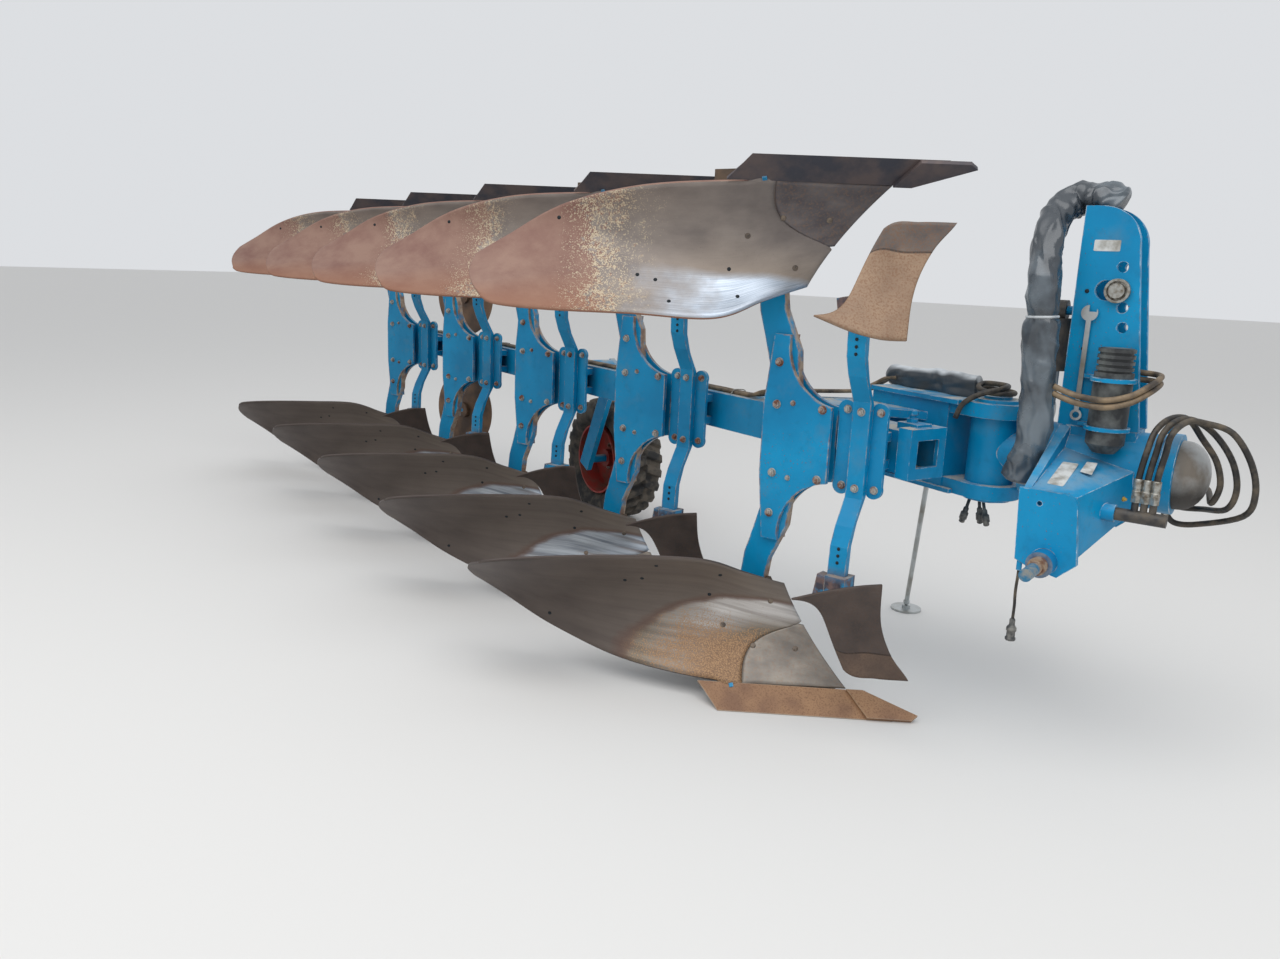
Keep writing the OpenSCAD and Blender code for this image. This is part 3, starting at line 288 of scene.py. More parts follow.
def turned(profile, sides, crown=0.0):
    """Turned solid about Z: a ring of corners at each [radius, height] of the profile, in
    millimetres. Each end closes in a point on the axis, the upper one crown higher."""
    ring = np.asarray(profile, float) / 1000
    angle = np.arange(sides) * 2 * math.pi / sides
    rings = np.stack([ring[:, :1] * np.cos(angle), ring[:, :1] * np.sin(angle),
                      np.repeat(ring[:, 1:], sides, 1)], -1)
    return skin(rings, [0, 0, ring[0, 1]], [0, 0, ring[-1, 1] + crown / 1000])


def set_on(shape, foot, axis):
    """Moves a turned solid so that its Z axis points along axis, from foot: a point becomes
    foot + x times a direction across the axis + y times the other + z times the axis."""
    points, faces = shape
    z = np.asarray(axis, float) / np.linalg.norm(axis)
    x = np.cross(z, [0.31, 0.22, 0.93] if abs(z[2]) < 0.9 else [1.0, 0.1, 0.0])
    x /= np.linalg.norm(x)
    return points @ np.array([x, np.cross(z, x), z]) + np.asarray(foot, float), faces


def gather(shapes):
    """Several closed shapes as one mesh: all points, and faces counted on."""
    points, faces, count = [], [], 0
    for p, f in shapes:
        points.append(p)
        faces += [[i + count for i in face] for face in f]
        count += len(p)
    return np.concatenate(points), faces


plug_plastic = clouded("plug_plastic", (60, 4), (0.4, 0.7), (58, 60, 62), (128, 126, 120))
plug_body = turned([[6, 0], [8.5, 4], [8.5, 20], [13, 26], [15, 30], [15, 38], [12.5, 40],
                    [12.5, 58], [15.5, 60], [15.5, 65.5], [14, 68.5]], 24)
plug_gap = 0.0008
plug = linked_mesh("cable_plug_body",
                   *set_on(plug_body, cable_points[-1] - [0, 0, plug_gap], (0, 0, -1)),
                   "headstock", "black_plastic", plug_plastic)
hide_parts("cable_plug")

# Three rubber pressure hoses rise from the valve bar, lie over the bent rod, hang in loops
# in front of the cap and run back to the housing's far side. A ferrule is crimped on each end.
loop_points = np.array([[0, 0, -35], [0, 2, 20], [8, 12, 90], [18, 40, 150], [42, 110, 182],
                        [80, 165, 178], [135, 175, 140], [185, 182, 70], [205, 195, -10],
                        [185, 220, -75]], float)
loop_rows = ((0, 0, 0.9, -20), (24, -22, 1.0, -45), (48, -44, 1.12, -70))
landing = ((85, 40), (25, 48), (0, 22), (0, 0.3))
port_x, valve_y, turnover_y, ring_r, ring_x = 1093.3, 180.0, 420.0, 123.0, 1140.0
port_nut = turned([[14.5, 0], [14.5, 20], [12, 22]], 6)
ferrule_shapes = []
ferrule = turned([[13.5, 0], [13.5, 12], [11.8, 14], [11.8, 20], [12.5, 21], [12.5, 46],
                  [10.5, 48]], 18)
hose_diameter = 0.018


def pressure_hose(name, path, body, rubber):
    """A round hose along the path, of diameter hose_diameter."""
    hose = linked_mesh(name, *tube_surface(path, hose_diameter / 2, 14), body, "hose_rubber",
                       rubber)
    return hose


for number, (along, aside, width, angle) in enumerate(loop_rows):
    route = loop_points.copy()
    route[6:] *= [width, 1, width]
    route[3:, 1] += aside
    route += [port_x + along, valve_y, 1000 * MID_Z]
    around = math.radians(angle)
    ends = [[ring_x + x, turnover_y + (ring_r + out) * math.cos(around),
             1000 * MID_Z + (ring_r + out) * math.sin(around)] for x, out in landing]
    path = rope_path(np.concatenate([route, ends]) / 1000 + STATION, 6)
    hose = pressure_hose("loop_hose_%d" % (number + 1), path, "headstock", hose_rubber)
    if number == 0:
        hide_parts("front_hoses")
    ferrule_shapes += [set_on(ferrule, path[0] - [0, 0, 0.001], (0, 0, 1)),
                       set_on(ferrule, path[-1], path[-3] - path[-1]),
                       set_on(port_nut, path[0] - [0, 0, 0.022], (0, 0, 1))]

# Two more hoses leave the turnover cylinder between the tower plates, come out in front,
# wrap the canister and go into the sleeve. Their rubber is brown with dust and sun. The
# loops' ferrules and port nuts are zinc plated.
wrap_points = np.array([[802.5, 420, 312], [900, 420, 300], [1030, 420, 296], [1072, 395, 294],
                        [1084, 340, 290], [1070, 270, 270], [1030, 226, 240], [968, 212, 222],
                        [900, 207, 226], [855, 202, 238], [823, 200, 250]], float)
wrap_pitch = 21
wrap_rubber = clouded("wrap_hose_rubber", (16, 6), (0.38, 0.62), (62, 54, 46), (138, 118, 92),
                      roughness=0.6, bump=(140, 3, 0.25, 0.0008))
for number in range(2):
    lifted = wrap_points + [0, 0, 1000 * MID_Z - wrap_pitch * number]
    path = rope_path(lifted / 1000 + STATION, 6)
    hose = pressure_hose("wrap_hose_%d" % (number + 1), path, "headstock", wrap_rubber)
    if number == 0:
        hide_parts("wrap_hoses")
zinc = clouded("zinc_plate", (70, 5), (0.4, 0.68), (176, 176, 170), (118, 108, 94), metallic=0.85,
               rough=(0.35, 0.65))
linked_mesh("hose_ferrules", *gather(ferrule_shapes), "headstock", "bright_steel", zinc,
            smooth=False)

# Beam, arm, legs, headstock and every other painted weldment: gloss blue over steel, dusty
# where it faces up, darkened with painted shade where it faces down, chipped to bare and
# rusty metal along its edges, rubbed and splashed. Near-white chipped edges also serve as a
# painted highlight.
def painted(name, wear, worn_low, worn_high, dust=0.9, grime=0.0, rubbed=0.0):
    """Blue paint. Its edges are rubbed through over a width wear (metres) to a colour from
    worn_low to worn_high; where worn_low is near white, the rubbed edges are also a painted
    highlight. Faces turned down are darkened with painted shade. dust is how much lies on top
    of it, grime how far the parts next to the boards are stained, and rubbed how far soil has
    bared the plates' narrow faces above and below the beam."""
    f = Finish(name, roughness=0.42)
    along, facing = f.part(f.facing, 0), f.part(f.facing, 2)
    broad, fine, specks = f.noise(2.6, 5), f.noise(26, 6), f.noise(150, 3)
    blue = f.fade(broad, 0.35, 0.68, (0, 0.196, 0.405, 1), (0, 0.29, 0.56, 1))
    blue = f.fade(fine, 0.56, 0.8, blue, (0.004, 0.105, 0.21, 1), 0.35)
    film = f.ramp(f.noise(7, 6, rough=0.65), 0.54, 0.76, 0, 0.28)
    blue = f.mix(film, blue, (112, 120, 118))
    lying = f.times(f.ramp(facing, 0.55, 0.97),
                    f.ramp(f.noise(11, 6), 0.38, 0.6, 0.1 * dust, dust))
    blue = f.mix(lying, blue, (182, 176, 164))
    # Painted shade: faces turned down are darkened towards (62, 66, 66).
    blue = f.mix(f.ramp(facing, -0.95, -0.5, 0.4, 0), blue, (62, 66, 66))
    off_middle = f.reckon("ABSOLUTE", f.less(f.part(f.place, 2), MID_Z))
    stained = f.times(f.ramp(off_middle, 0.37, 0.42, 0, grime),
                      f.ramp(f.noise(15, 5), 0.4, 0.52))
    soil = f.fade(fine, 0.4, 0.6, (70, 50, 42), (122, 88, 68))
    blue = f.mix(stained, blue, soil)
    narrow = f.times(f.ramp(f.reckon("ABSOLUTE", along), 0.35, 0.6), f.ramp(off_middle, 0.12, 0.2))
    narrow = f.times(narrow, f.ramp(f.noise(12, 6, rough=0.65), 0.36, 0.5, 0, rubbed))
    bared = f.fade(fine, 0.42, 0.6, (168, 146, 122), (134, 104, 82))
    blue = f.mix(narrow, blue, bared)
    # Rubbed edges: real wear to bare metal, and where worn_low is near white also a painted
    # highlight along the edges.
    edge_wear_and_highlight = f.times(f.ramp(f.edge(wear, 6), 0.985, 0.87),
                   f.ramp(f.noise(21, 6, rough=0.7), 0.44, 0.56))
    blue = f.mix(edge_wear_and_highlight, blue, f.fade(fine, 0.44, 0.58, worn_low, worn_high))
    rust_spot = f.ramp(f.plus(specks, f.times(broad, 0.35)), 0.86, 0.9, 0, 0.7)
    blue = f.mix(rust_spot, blue, (112, 70, 46))
    rough = f.reckon("MAXIMUM", f.ramp(lying, 0, 1, 0.36, 0.85), f.ramp(fine, 0.4, 0.7, 0.34, 0.52))
    rough = f.reckon("MAXIMUM", rough, f.ramp(f.reckon("MAXIMUM", edge_wear_and_highlight, stained), 0, 1, 0.3, 0.8))
    f.bump(f.plus(fine, f.times(specks, 0.4)), 0.12, 0.002)
    return f.put(Base_Color=blue, Roughness=rough, Specular_IOR_Level=0.28)


# Its near-white rubbed edges are partly a painted highlight along the edges.
blue_paint = painted("blue_paint", 0.004, (196, 204, 206), (120, 96, 76))
leg_paint = painted("leg_paint", 0.010, (182, 166, 146), (140, 98, 72), rubbed=0.95)
skimmer_paint = painted("skimmer_paint", 0.006, (176, 168, 156), (122, 84, 62), grime=0.9)
# Its near-white rubbed edges are partly a painted highlight along the edges.
headstock_paint = painted("headstock_paint", 0.005, (206, 214, 216), (112, 100, 88), dust=0.3)
finish_nodes(blue_paint, "main_beam", "beam_end", "swing_arm", "arm_pivot", "turnover_shaft",
             "leg_consoles", "skimmer_brackets", "disc_brackets", "wheel_bracket", "wheel_arm",
             "stand_bracket")
finish_nodes(headstock_paint, "headstock_body", "end_plates", "tower", "canister_rings",
             "hose_hook")
finish_nodes(leg_paint, *[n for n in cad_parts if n.startswith("leg_plates")],
             "lower_stalks", "upper_stalks")
finish_nodes(skimmer_paint, "skimmer_stalks")

# The link pins at both ends of the headstock: a blue boss, a rusty shoulder where the
# tractor's ball sits, and a pin rubbed to blue-grey steel.
pin = Finish("link_pin_steel", metallic=0.2, roughness=0.55)
off_axis = pin.less(pin.part(pin.place, 1), turnover_y / 1000 + STATION[1])
reach = pin.reckon("ABSOLUTE", off_axis)
spots = pin.ramp(pin.noise(45, 5), 0.4, 0.6)
pin_length, shoulder, blend = 0.134, 0.056, 0.004
boss_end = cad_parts["lower_link_pins"].dimensions.y / 2 - pin_length
pin_rust = pin.mix(spots, (118, 84, 66), (158, 138, 118))
pin_tip = pin.mix(spots, (46, 112, 146), (138, 140, 136))
pin_colour = pin.fade(reach, boss_end - 0.001, boss_end + 0.001, (0, 0.2, 0.42, 1), pin_rust)
tip_start = boss_end + shoulder
pin_colour = pin.fade(reach, tip_start - blend, tip_start + blend, pin_colour, pin_tip)
finish_nodes(pin.put(Base_Color=pin_colour), "lower_link_pins")

# Hexagon bolts hold the legs, stalks and skimmer clamps, each with its washer: plated
# steel, grey where it is sound and brown where the rust has come through.
bolt_steel = clouded("bolt_steel", (24, 5), (0.45, 0.60), (172, 170, 164), (132, 88, 68),
                     metallic=0.55, rough=(0.42, 0.8))


def hex_bolt(size):
    """Washer and chamfered hexagon head with a stub of thread, standing on its face along
    Z; every measure is a share of size, the head's radius in millimetres."""
    washer = turned(np.array([[1.2, 0], [1.2, 0.14], [1.12, 0.2]]) * size, 20)
    head = turned(np.array([[1, 0.2], [1, 0.8], [0.86, 0.95]]) * size, 6)
    stub = turned(np.array([[0.48, 0.9], [0.48, 1.25], [0.4, 1.32]]) * size, 12)
    return gather([washer, head, stub])


body_count, spacing, step = 5, 0.900, 0.330
leg_places = [STATION + [-i * spacing, i * step, 0.0] for i in range(body_count)]


def on_both_rows(shape, feet, outs):
    """The shape at each foot of every lower body, standing along its out, and again on
    every upper body, mirrored about the beam's middle."""
    return gather([set_on(shape, foot * [1, 1, side] + [0, 0, (1 - side) * MID_Z] + place,
                          out * [1, 1, side])
                   for place in leg_places for side in (1, -1) for foot, out in zip(feet, outs)])


# [x, depth below the beam's middle, radius], near face and far face, in millimetres
plate_bolts = ((0, 258, 12.5), (1, 117, 12.5), (61, 127, 8), (170, 117, 12.5))
plate_faces = ((0, -1), (64, 1))
bolt_table = [(x, y, depth, size, way) for x, depth, size in plate_bolts
              for y, way in plate_faces]
bolt_table += [(243, 34.8, 126, 11.5, -1), (357, 34.8, 126, 11.5, -1), (301, 9.5, 125, 11.5, -1)]
bolts = [on_both_rows(hex_bolt(size), np.array([[x, y, 1000 * MID_Z - depth]]) / 1000,
                      np.array([[0, way, 0]])) for x, y, depth, size, way in bolt_table]
linked_mesh("leg_bolts", *gather(bolts), "frame", "dark_steel", bolt_steel, smooth=False)

# Each skimmer stalk has a short column of pin holes near its board, by which its working
# depth is set. They are drawn as thin dark rounds on the stalk's near face: painted shade
# standing in for the holes.
hole_shadow = clouded("hole_shadow", (90,), (0, 1), (14, 24, 30), (38, 44, 48), roughness=0.9)
stalk_hole_shades = np.array([[301, -70.8, -312], [301, -72.0, -335], [301, -73.1, -358]]) / 1000
pin_hole_shade_disc = turned([[5.5, 0], [5.5, 1.2]], 16)
linked_mesh("stalk_hole_shades",
            *on_both_rows(pin_hole_shade_disc, stalk_hole_shades + [0, 0, MID_Z], np.array([[0, -1, 0]] * 3)),
            "frame", "dark_steel", hole_shadow)


# The moldboards are the plough's finest sheets: hardened steel lofted along the furrow
# slice's turn, nearly upright at the shin and laid over at the tail. Soil polishes the
# front half bright, and its polished steel carries a painted bluish reflection of the sky
# and a painted sheen; the tails stay dark below and bloom with orange rust above.
board_rows = np.array([
    [[316, 30, 80], [144, 30, 232], [65, 30, 385]],
    [[83, -125, 80], [-34, 2, 250], [-15, -95, 430]],
    [[-84, -236, 76], [-236, -53, 277], [-112, -246, 488]],
    [[-375, -319, 94], [-473, -170, 271], [-335, -392, 484]],
    [[-660, -360, 150], [-682, -326, 285], [-520, -580, 480]],
    [[-825, -450, 255], [-776, -504, 348], [-640, -690, 468]],
    [[-906, -510, 316], [-877, -620, 390], [-700, -690, 445]]], float) / 1000


def lofted(rows, a, t):
    """Point of a sheet at a along its rows and t across it: each row is the parabola
    (1-t)^2 p + 2t(1-t) q + t^2 r, and a bend joins the rows along a."""
    arcs = ((1 - t) ** 2)[..., None], (2 * t * (1 - t))[..., None], (t ** 2)[..., None]
    k = np.clip(np.floor(a).astype(int), 0, len(rows) - 2)
    u = (a - k)[..., None]
    return bend(*(sum(w * rows[np.clip(k + j, 0, len(rows) - 1), c] for c, w in enumerate(arcs))
                  for j in (-1, 0, 1, 2)), u)


def sheet_normal(rows, a, t):
    """Unit normal out of the working face: cross product of the steps along t and a."""
    h = 0.01
    n = np.cross(lofted(rows, a, t + h) - lofted(rows, a, t - h),
                 lofted(rows, a + h, t) - lofted(rows, a - h, t))
    return n / np.linalg.norm(n, axis=-1, keepdims=True)


def steel_sheet(rows, a, t, thickness):
    """Closed sheet: the lofted face at grids a and t with its edges eased, the same grid
    again a thickness behind it, and a wall round the edge. The back's own coordinates go
    on from u = 1.5, past what the soil has rubbed."""
    eased, back_from = 0.0012, [1.5, 0]
    m, n = a.shape
    face = lofted(rows, a, t)
    out = sheet_normal(rows, a, t)
    back = face - thickness * out
    ease = np.zeros((m, n, 1))
    ease[[0, -1]] = ease[:, [0, -1]] = eased
    face = face - ease * out
    index = np.arange(m * n).reshape(m, n)
    cells = np.stack([index[:-1, :-1], index[:-1, 1:], index[1:, 1:], index[1:, :-1]], -1)
    cells = cells.reshape(-1, 4)
    loop = np.concatenate([index[0, :-1], index[:-1, -1], index[-1, :0:-1], index[:0:-1, 0]])
    wall = np.stack([np.roll(loop, -1), loop, loop + m * n, np.roll(loop, -1) + m * n], -1)
    faces = cells[:, ::-1].tolist() + (cells + m * n).tolist() + wall[:, ::-1].tolist()
    uv = np.stack([a / (len(rows) - 1), t], -1).reshape(-1, 2)
    points = np.concatenate([face.reshape(-1, 3), back.reshape(-1, 3)])
    return points, faces, np.concatenate([uv, uv + back_from])


def mirrored(points, faces):
    """The same shape on the other side of the beam's mid-plane: z becomes 2 MID_Z - z, and
    the faces are turned round."""
    other = points * [1, 1, -1] + [0, 0, 2 * MID_Z]
    return other, [f[::-1] for f in faces]


def seam(t):
    """Where the shin ends and the moldboard starts, along a, at height t: 1.3 (1 - (t /
    0.6)^2.3), and 0 above t = 0.6."""
    return 1.3 * (1 - np.minimum(1, t / 0.6) ** 2.3)


def down_to_share(a, t):
    """Lengthens the sheet's lower edge over the share: t less 0.03, which fades out by
    t = 0.2 and from a = 1.6 to 1.8."""
    return t - 0.03 * (1 - np.clip(t / 0.2, 0, 1)) * np.clip((1.8 - a) / 0.2, 0, 1)


board_thickness = 0.009
s, t = np.meshgrid(np.linspace(0, 1, 71), np.linspace(0, 1, 34))
first = seam(t) + np.where(t < 0.6, 0.006, 0.0)
a = first + (6 - first) * s
*board_sheet, board_uv = steel_sheet(board_rows, a, down_to_share(a, t), board_thickness)
s, t = np.meshgrid(np.linspace(0, 1, 24), np.linspace(0, 0.57, 22))
a = seam(t) * s
*shin_sheet, shin_uv = steel_sheet(board_rows, a, down_to_share(a, t), board_thickness)


def upper_board_steel():
    """Steel of the row in the air, over the sheet's coordinates u (front to tail) and v
    (share to top edge): pink-brown rust on the tail, breaking into cream specks towards
    the middle, grey scale in front, and a bright band along the top edge, past the curve
    v = 0.62 + 1.3 (0.5 - u)^2: polished steel painted with a bluish reflection of the sky,
    with a warmer painted sheen, glow, just inside it."""
    f = Finish("moldboard_upper")
    u, v = f.part(f.uv, 0), f.part(f.uv, 1)
    speck, grain = f.noise(210, 3), f.noise(75, 5)
    patch, cloud = f.noise(7, 7, rough=0.62), f.noise(2.4, 6, f.stretch(3, 1.6))
    scratch = f.noise(1, 8, f.stretch(5, 170), 0.7)
    along = f.plus(u, f.times(f.less(patch, 0.5), 0.3))
    tail = f.ramp(along, 0.49, 0.63)
    scale = f.fade(cloud, 0.35, 0.65, (124, 115, 110), (150, 140, 132))
    dark = f.times(f.ramp(v, 0.62, 0.05), f.ramp(u, 0.36, 0.02))
    scale = f.mix(f.times(dark, 0.8), scale, (78, 73, 76))
    rust = f.fade(patch, 0.36, 0.64, (126, 92, 82), (146, 116, 102))
    rust = f.mix(f.times(f.ramp(v, 0.7, 1), 0.55), rust, (152, 104, 76))
    broken = f.plus(tail, f.times(f.less(grain, 0.5), 1.7))
    colour = f.fade(broken, 0.4, 0.6, scale, rust)
    border = f.times(f.ramp(along, 0.4, 0.56), f.ramp(along, 0.76, 0.56))
    cream = f.plus(f.times(speck, 0.9), f.times(f.times(border, grain), 0.55))
    colour = f.mix(f.times(border, f.ramp(cream, 0.7, 0.78)), colour, (196, 182, 156))
    bow = f.reckon("POWER", f.less(0.5, u), 2)
    past = f.less(v, f.plus(0.62, f.times(bow, 1.3)))
    past = f.plus(past, f.times(f.less(cloud, 0.5), 0.08))
    # Painted reflection: the bright band is polished steel coloured as a bluish reflection of the
    # sky.
    bright = f.times(f.ramp(past, -0.01, 0.07), f.ramp(along, 0.52, 0.34))
    steel = f.fade(scratch, 0.4, 0.62, (150, 162, 176), (206, 214, 224))
    colour = f.mix(bright, colour, steel)
    # glow is a painted sheen, paler and warmer, just inside the reflection band.
    glow = f.times(f.times(f.ramp(past, -0.28, -0.02), f.ramp(u, 0.5, 0.36)), 0.35)
    colour = f.mix(f.times(glow, f.less(1, bright)), colour, (176, 160, 142))
    colour = f.fade(scratch, 0.56, 0.76, colour, (60, 54, 50), 0.22)
    colour = f.fade(speck, 0.68, 0.74, colour, (74, 48, 38), 0.45)
    bare = f.times(f.less(1, f.ramp(broken, 0.42, 0.58)), 0.45)
    shine = f.reckon("MAXIMUM", bright, bare)
    f.bump(f.plus(scratch, f.times(grain, f.ramp(tail, 0, 1, 0.3, 1.6))), 0.22, 0.0015)
    return f.put(Base_Color=colour, Metallic=f.ramp(shine, 0, 1, 0.1, 0.75),
                 Roughness=f.plus(f.ramp(shine, 0, 1, 0.66, 0.3), f.times(scratch, 0.14)))


def lower_board_steel(name, bloom):
    """Steel of the row on the ground, over u (front to tail) and v (share to top edge):
    dark scale with a soft painted sheen towards the front, and a half moon rubbed by the soil
    where e < 1, e^2 = (u / 0.5)^2 + (v / 0.77)^2. bloom is how far orange rust covers the
    half moon; the less bloom, the more the polished half moon is painted with a bluish
    reflection of the sky."""
    f = Finish(name)
    u, v = f.part(f.uv, 0), f.part(f.uv, 1)
    speck, grain = f.noise(230, 3), f.noise(90, 5)
    patch, cloud = f.noise(9, 7, rough=0.62), f.noise(2.2, 6, f.stretch(3.4, 1.6))
    scratch = f.noise(1, 8, f.stretch(5, 170), 0.7)
    streak = f.noise(1, 5, f.stretch(2.2, 15), 0.6)
    e = f.oval(f.plus(u, f.times(f.less(cloud, 0.5), 0.1)), v, 0.5, 0.77)
    inside = f.ramp(e, 1.01, 0.975)
    ground = f.fade(cloud, 0.32, 0.68, (72, 63, 60), (90, 80, 75))
    # Painted sheen: the dark scale is lightened towards the front, in streaks.
    sheen = f.times(f.ramp(u, 0.78, 0.15), f.ramp(streak, 0.3, 0.7, 0.5, 1))
    ground = f.mix(f.times(sheen, 0.85), ground, (132, 121, 110))
    band = f.times(f.ramp(e, 0.62, 0.86), f.ramp(u, 0.46, 0.28))
    olive = f.fade(streak, 0.35, 0.65, (96, 86, 74), (124, 114, 100))
    silver = f.fade(streak, 0.35, 0.62, (148, 141, 136), (200, 196, 192))
    moon = f.mix(band, olive, silver)
    orange = f.fade(speck, 0.36, 0.64, (112, 80, 58), (172, 136, 98))
    spot = f.oval(f.less(u, 0.24), f.less(v, 0.1), 0.19, 0.34)
    spot = f.plus(spot, f.times(f.less(patch, 0.5), 1.3))
    spread = f.plus(f.ramp(spot, 1.55, 0.35), f.times(f.less(speck, 0.5), 2.2))
    rusty = f.times(f.ramp(spread, 0.34, 0.72), 0.85 * bloom)
    # Painted reflection: on the polished half moon, a bluish reflection of the sky, streaked brown.
    sky_reflection_and_streaks = f.fade(streak, 0.38, 0.6, (112, 124, 140), (204, 214, 224))
    sky_reflection_and_streaks = f.fade(f.noise(1, 4, f.stretch(2, 7)), 0.5, 0.62, sky_reflection_and_streaks, (146, 118, 92), 0.6)
    moon = f.mix(1.0 - bloom, moon, f.mix(f.ramp(u, 0.02, 0.42, 0.95, 0.55), olive, sky_reflection_and_streaks))
    moon = f.mix(rusty, moon, orange)
    colour = f.mix(inside, ground, moon)
    rim = f.times(f.ramp(e, 0.96, 0.99), f.ramp(e, 1.05, 1.01))
    colour = f.mix(f.times(rim, 0.5), colour, (96, 66, 54))
    colour = f.fade(scratch, 0.56, 0.76, colour, (56, 50, 47), 0.3)
    colour = f.fade(speck, 0.68, 0.74, colour, (60, 42, 34), 0.4)
    shine = f.times(inside, f.less(1, rusty))
    f.bump(f.plus(scratch, f.times(grain, f.ramp(rusty, 0, 1, 0.2, 1.4))), 0.2, 0.0012)
    return f.put(Base_Color=colour, Metallic=f.ramp(shine, 0, 1, 0.35, 0.80 - 0.35 * bloom),
                 Roughness=f.plus(f.ramp(shine, 0, 1, 0.5, 0.28), f.times(scratch, 0.14)))


def shin_steel(name, low, high):
    """Shin steel, a shade greyer than the board behind it, with fine scratches along u."""
    f = Finish(name, metallic=0.45, roughness=0.46)
    cloud = f.ramp(f.noise(2.6, 6, f.stretch(5, 2)), 0.36, 0.64)
    scratch = f.noise(1, 8, f.stretch(6, 130), 0.7)
    colour = f.mix(cloud, low, high)
    colour = f.fade(f.noise(120, 4), 0.5, 0.66, colour, (140, 108, 82), 0.35)
    colour = f.fade(scratch, 0.56, 0.76, colour, (58, 54, 54), 0.3)
    f.bump(scratch, 0.18, 0.001)
    return f.put(Base_Color=colour)


upper_steel = upper_board_steel()
lower_steels = (lower_board_steel("moldboard_lower_first", 1.0),
                lower_board_steel("moldboard_lower", 0.0))
shin_steels = (shin_steel("shin_lower", (116, 110, 104), (148, 140, 130)),
               shin_steel("shin_upper", (84, 79, 82), (112, 105, 104)))


def sheet_rows(name, sheet, uv, slot, steels, node):
    """The sheet at each leg as one mesh, which stands for the CAD node, and the same again
    mirrored for the upper bodies."""
    for row, (points, faces), steel in zip(("lower", "upper"), (sheet, mirrored(*sheet)), steels):
        mesh = gather([(points + place, faces) for place in leg_places])
        piece = linked_mesh(name + "_" + row, *mesh, "frame", slot, steel,
                            uv=np.concatenate([uv] * body_count))
        if row == "lower":
            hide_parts(node)


board_pair = board_sheet, mirrored(*board_sheet)
for i, place in enumerate(leg_places):
    for row, (points, faces), steel in zip(("lower", "upper"), board_pair,
                                           (lower_steels[min(i, 1)], upper_steel)):
        board = linked_mesh("moldboard_%s_%d" % (row, i + 1), points + place, faces, "frame",
                            "moldboard_steel", steel, uv=board_uv)
        if row == "lower":
            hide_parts("moldboards_%d" % (i + 1))
sheet_rows("shins", shin_sheet, shin_uv, "moldboard_steel", shin_steels, "shins")

# Plough bolts with flat heads hold shin and moldboard to the frog and sit almost flush,
# browned like the steel round them. Spare holes for a tail piece and for stays are left
# open near the top edge and by the tail; they are drawn as thin dark discs of painted shade.
flat_head = turned([[9.5, 0], [9.5, 0.8], [8.2, 1.3]], 20, crown=0.2)
spare_hole_shade_disc = turned([[6.5, 0], [6.5, 0.6]], 16)
flush_steel = clouded("plough_bolt_steel", (70,), (0.4, 0.6), (84, 76, 70), (126, 112, 98),
                      metallic=0.45)
# places on the sheet: a along its rows, t across it
bolt_spots = ((0.45, 0.3), (0.6, 0.75), (1.6, 0.4), (1.06, 0.27))
hole_spots = ((2.57, 0.9), (2.75, 0.75), (2.97, 0.72), (1.63, 0.88), (1.83, 0.65), (4.05, 0.14))
for name, shape, spots, material in (("plough_bolts", flat_head, bolt_spots, flush_steel),
                                     ("board_hole_shades", spare_hole_shade_disc, hole_spots, hole_shadow)):
    a, t = np.array(spots).T
    feet, outs = lofted(board_rows, a, t), sheet_normal(board_rows, a, t)
    linked_mesh(name, *on_both_rows(shape, feet, outs), "frame", "dark_steel", material)

# Share blades and chisel points are forged steel. Those on the ground are tanned with
# fresh rust and paler where stones have struck their edges; those in the air are dark.
forged = Finish("share_steel", metallic=0.25, roughness=0.6)
tan = forged.fade(forged.noise(7, 6), 0.36, 0.64, (128, 96, 74), (160, 124, 92))
tan = forged.fade(forged.noise(190, 4), 0.5, 0.66, tan, (104, 70, 48), 0.6)
tan = forged.fade(forged.edge(0.004, 4), 0.98, 0.9, tan, (170, 156, 138), 0.7)
dark = forged.fade(forged.noise(9, 6), 0.4, 0.62, (66, 66, 74), (98, 86, 84))
in_the_air = forged.ramp(forged.part(forged.place, 2), MID_Z - 0.05, MID_Z + 0.05)
forged.bump(forged.noise(120, 5), 0.3, 0.0012)
forged_steel = forged.put(Base_Color=forged.mix(in_the_air, tan, dark))
finish_nodes(forged_steel, "share_blades", "share_points")

# One bolt of each share shows its square head near the wing. It is small and stands a
# little proud, and is still blue from the works.
square_head = turned([[10.5, 0], [10.5, 2.8], [9.2, 4]], 4)
linked_mesh("share_bolts", *on_both_rows(square_head, np.array([[0.0105, -0.1970, 0.0628]]),
                                         np.array([[0.364, -0.548, 0.753]])),
            "frame", "blue_paint", blue_paint, smooth=False)

# Frogs and landsides stand behind the boards and carry them. They are rough castings and
# bars, stained by the soil that packs there.
finish_nodes(clouded("frog_casting", (8, 6), (0.38, 0.62), (70, 64, 60), (112, 92, 74),
                     metallic=0.3, roughness=0.75, bump=(70, 6, 0.4, 0.002)), "frogs", "landsides")

# Skimmer boards: small pressed sheets with the same twist. The lower ones are dark and
# polished by trash; the upper ones wear an even coat of orange rust.
skim_rows = np.array([
    [[550, -20, 180], [505, -70, 340], [495, -150, 520]],
    [[470, -75, 182], [400, -110, 350], [440, -215, 515]],
    [[390, -125, 195], [330, -150, 330], [365, -265, 495]],
    [[300, -150, 300], [262, -200, 380], [270, -305, 457]]], float) / 1000


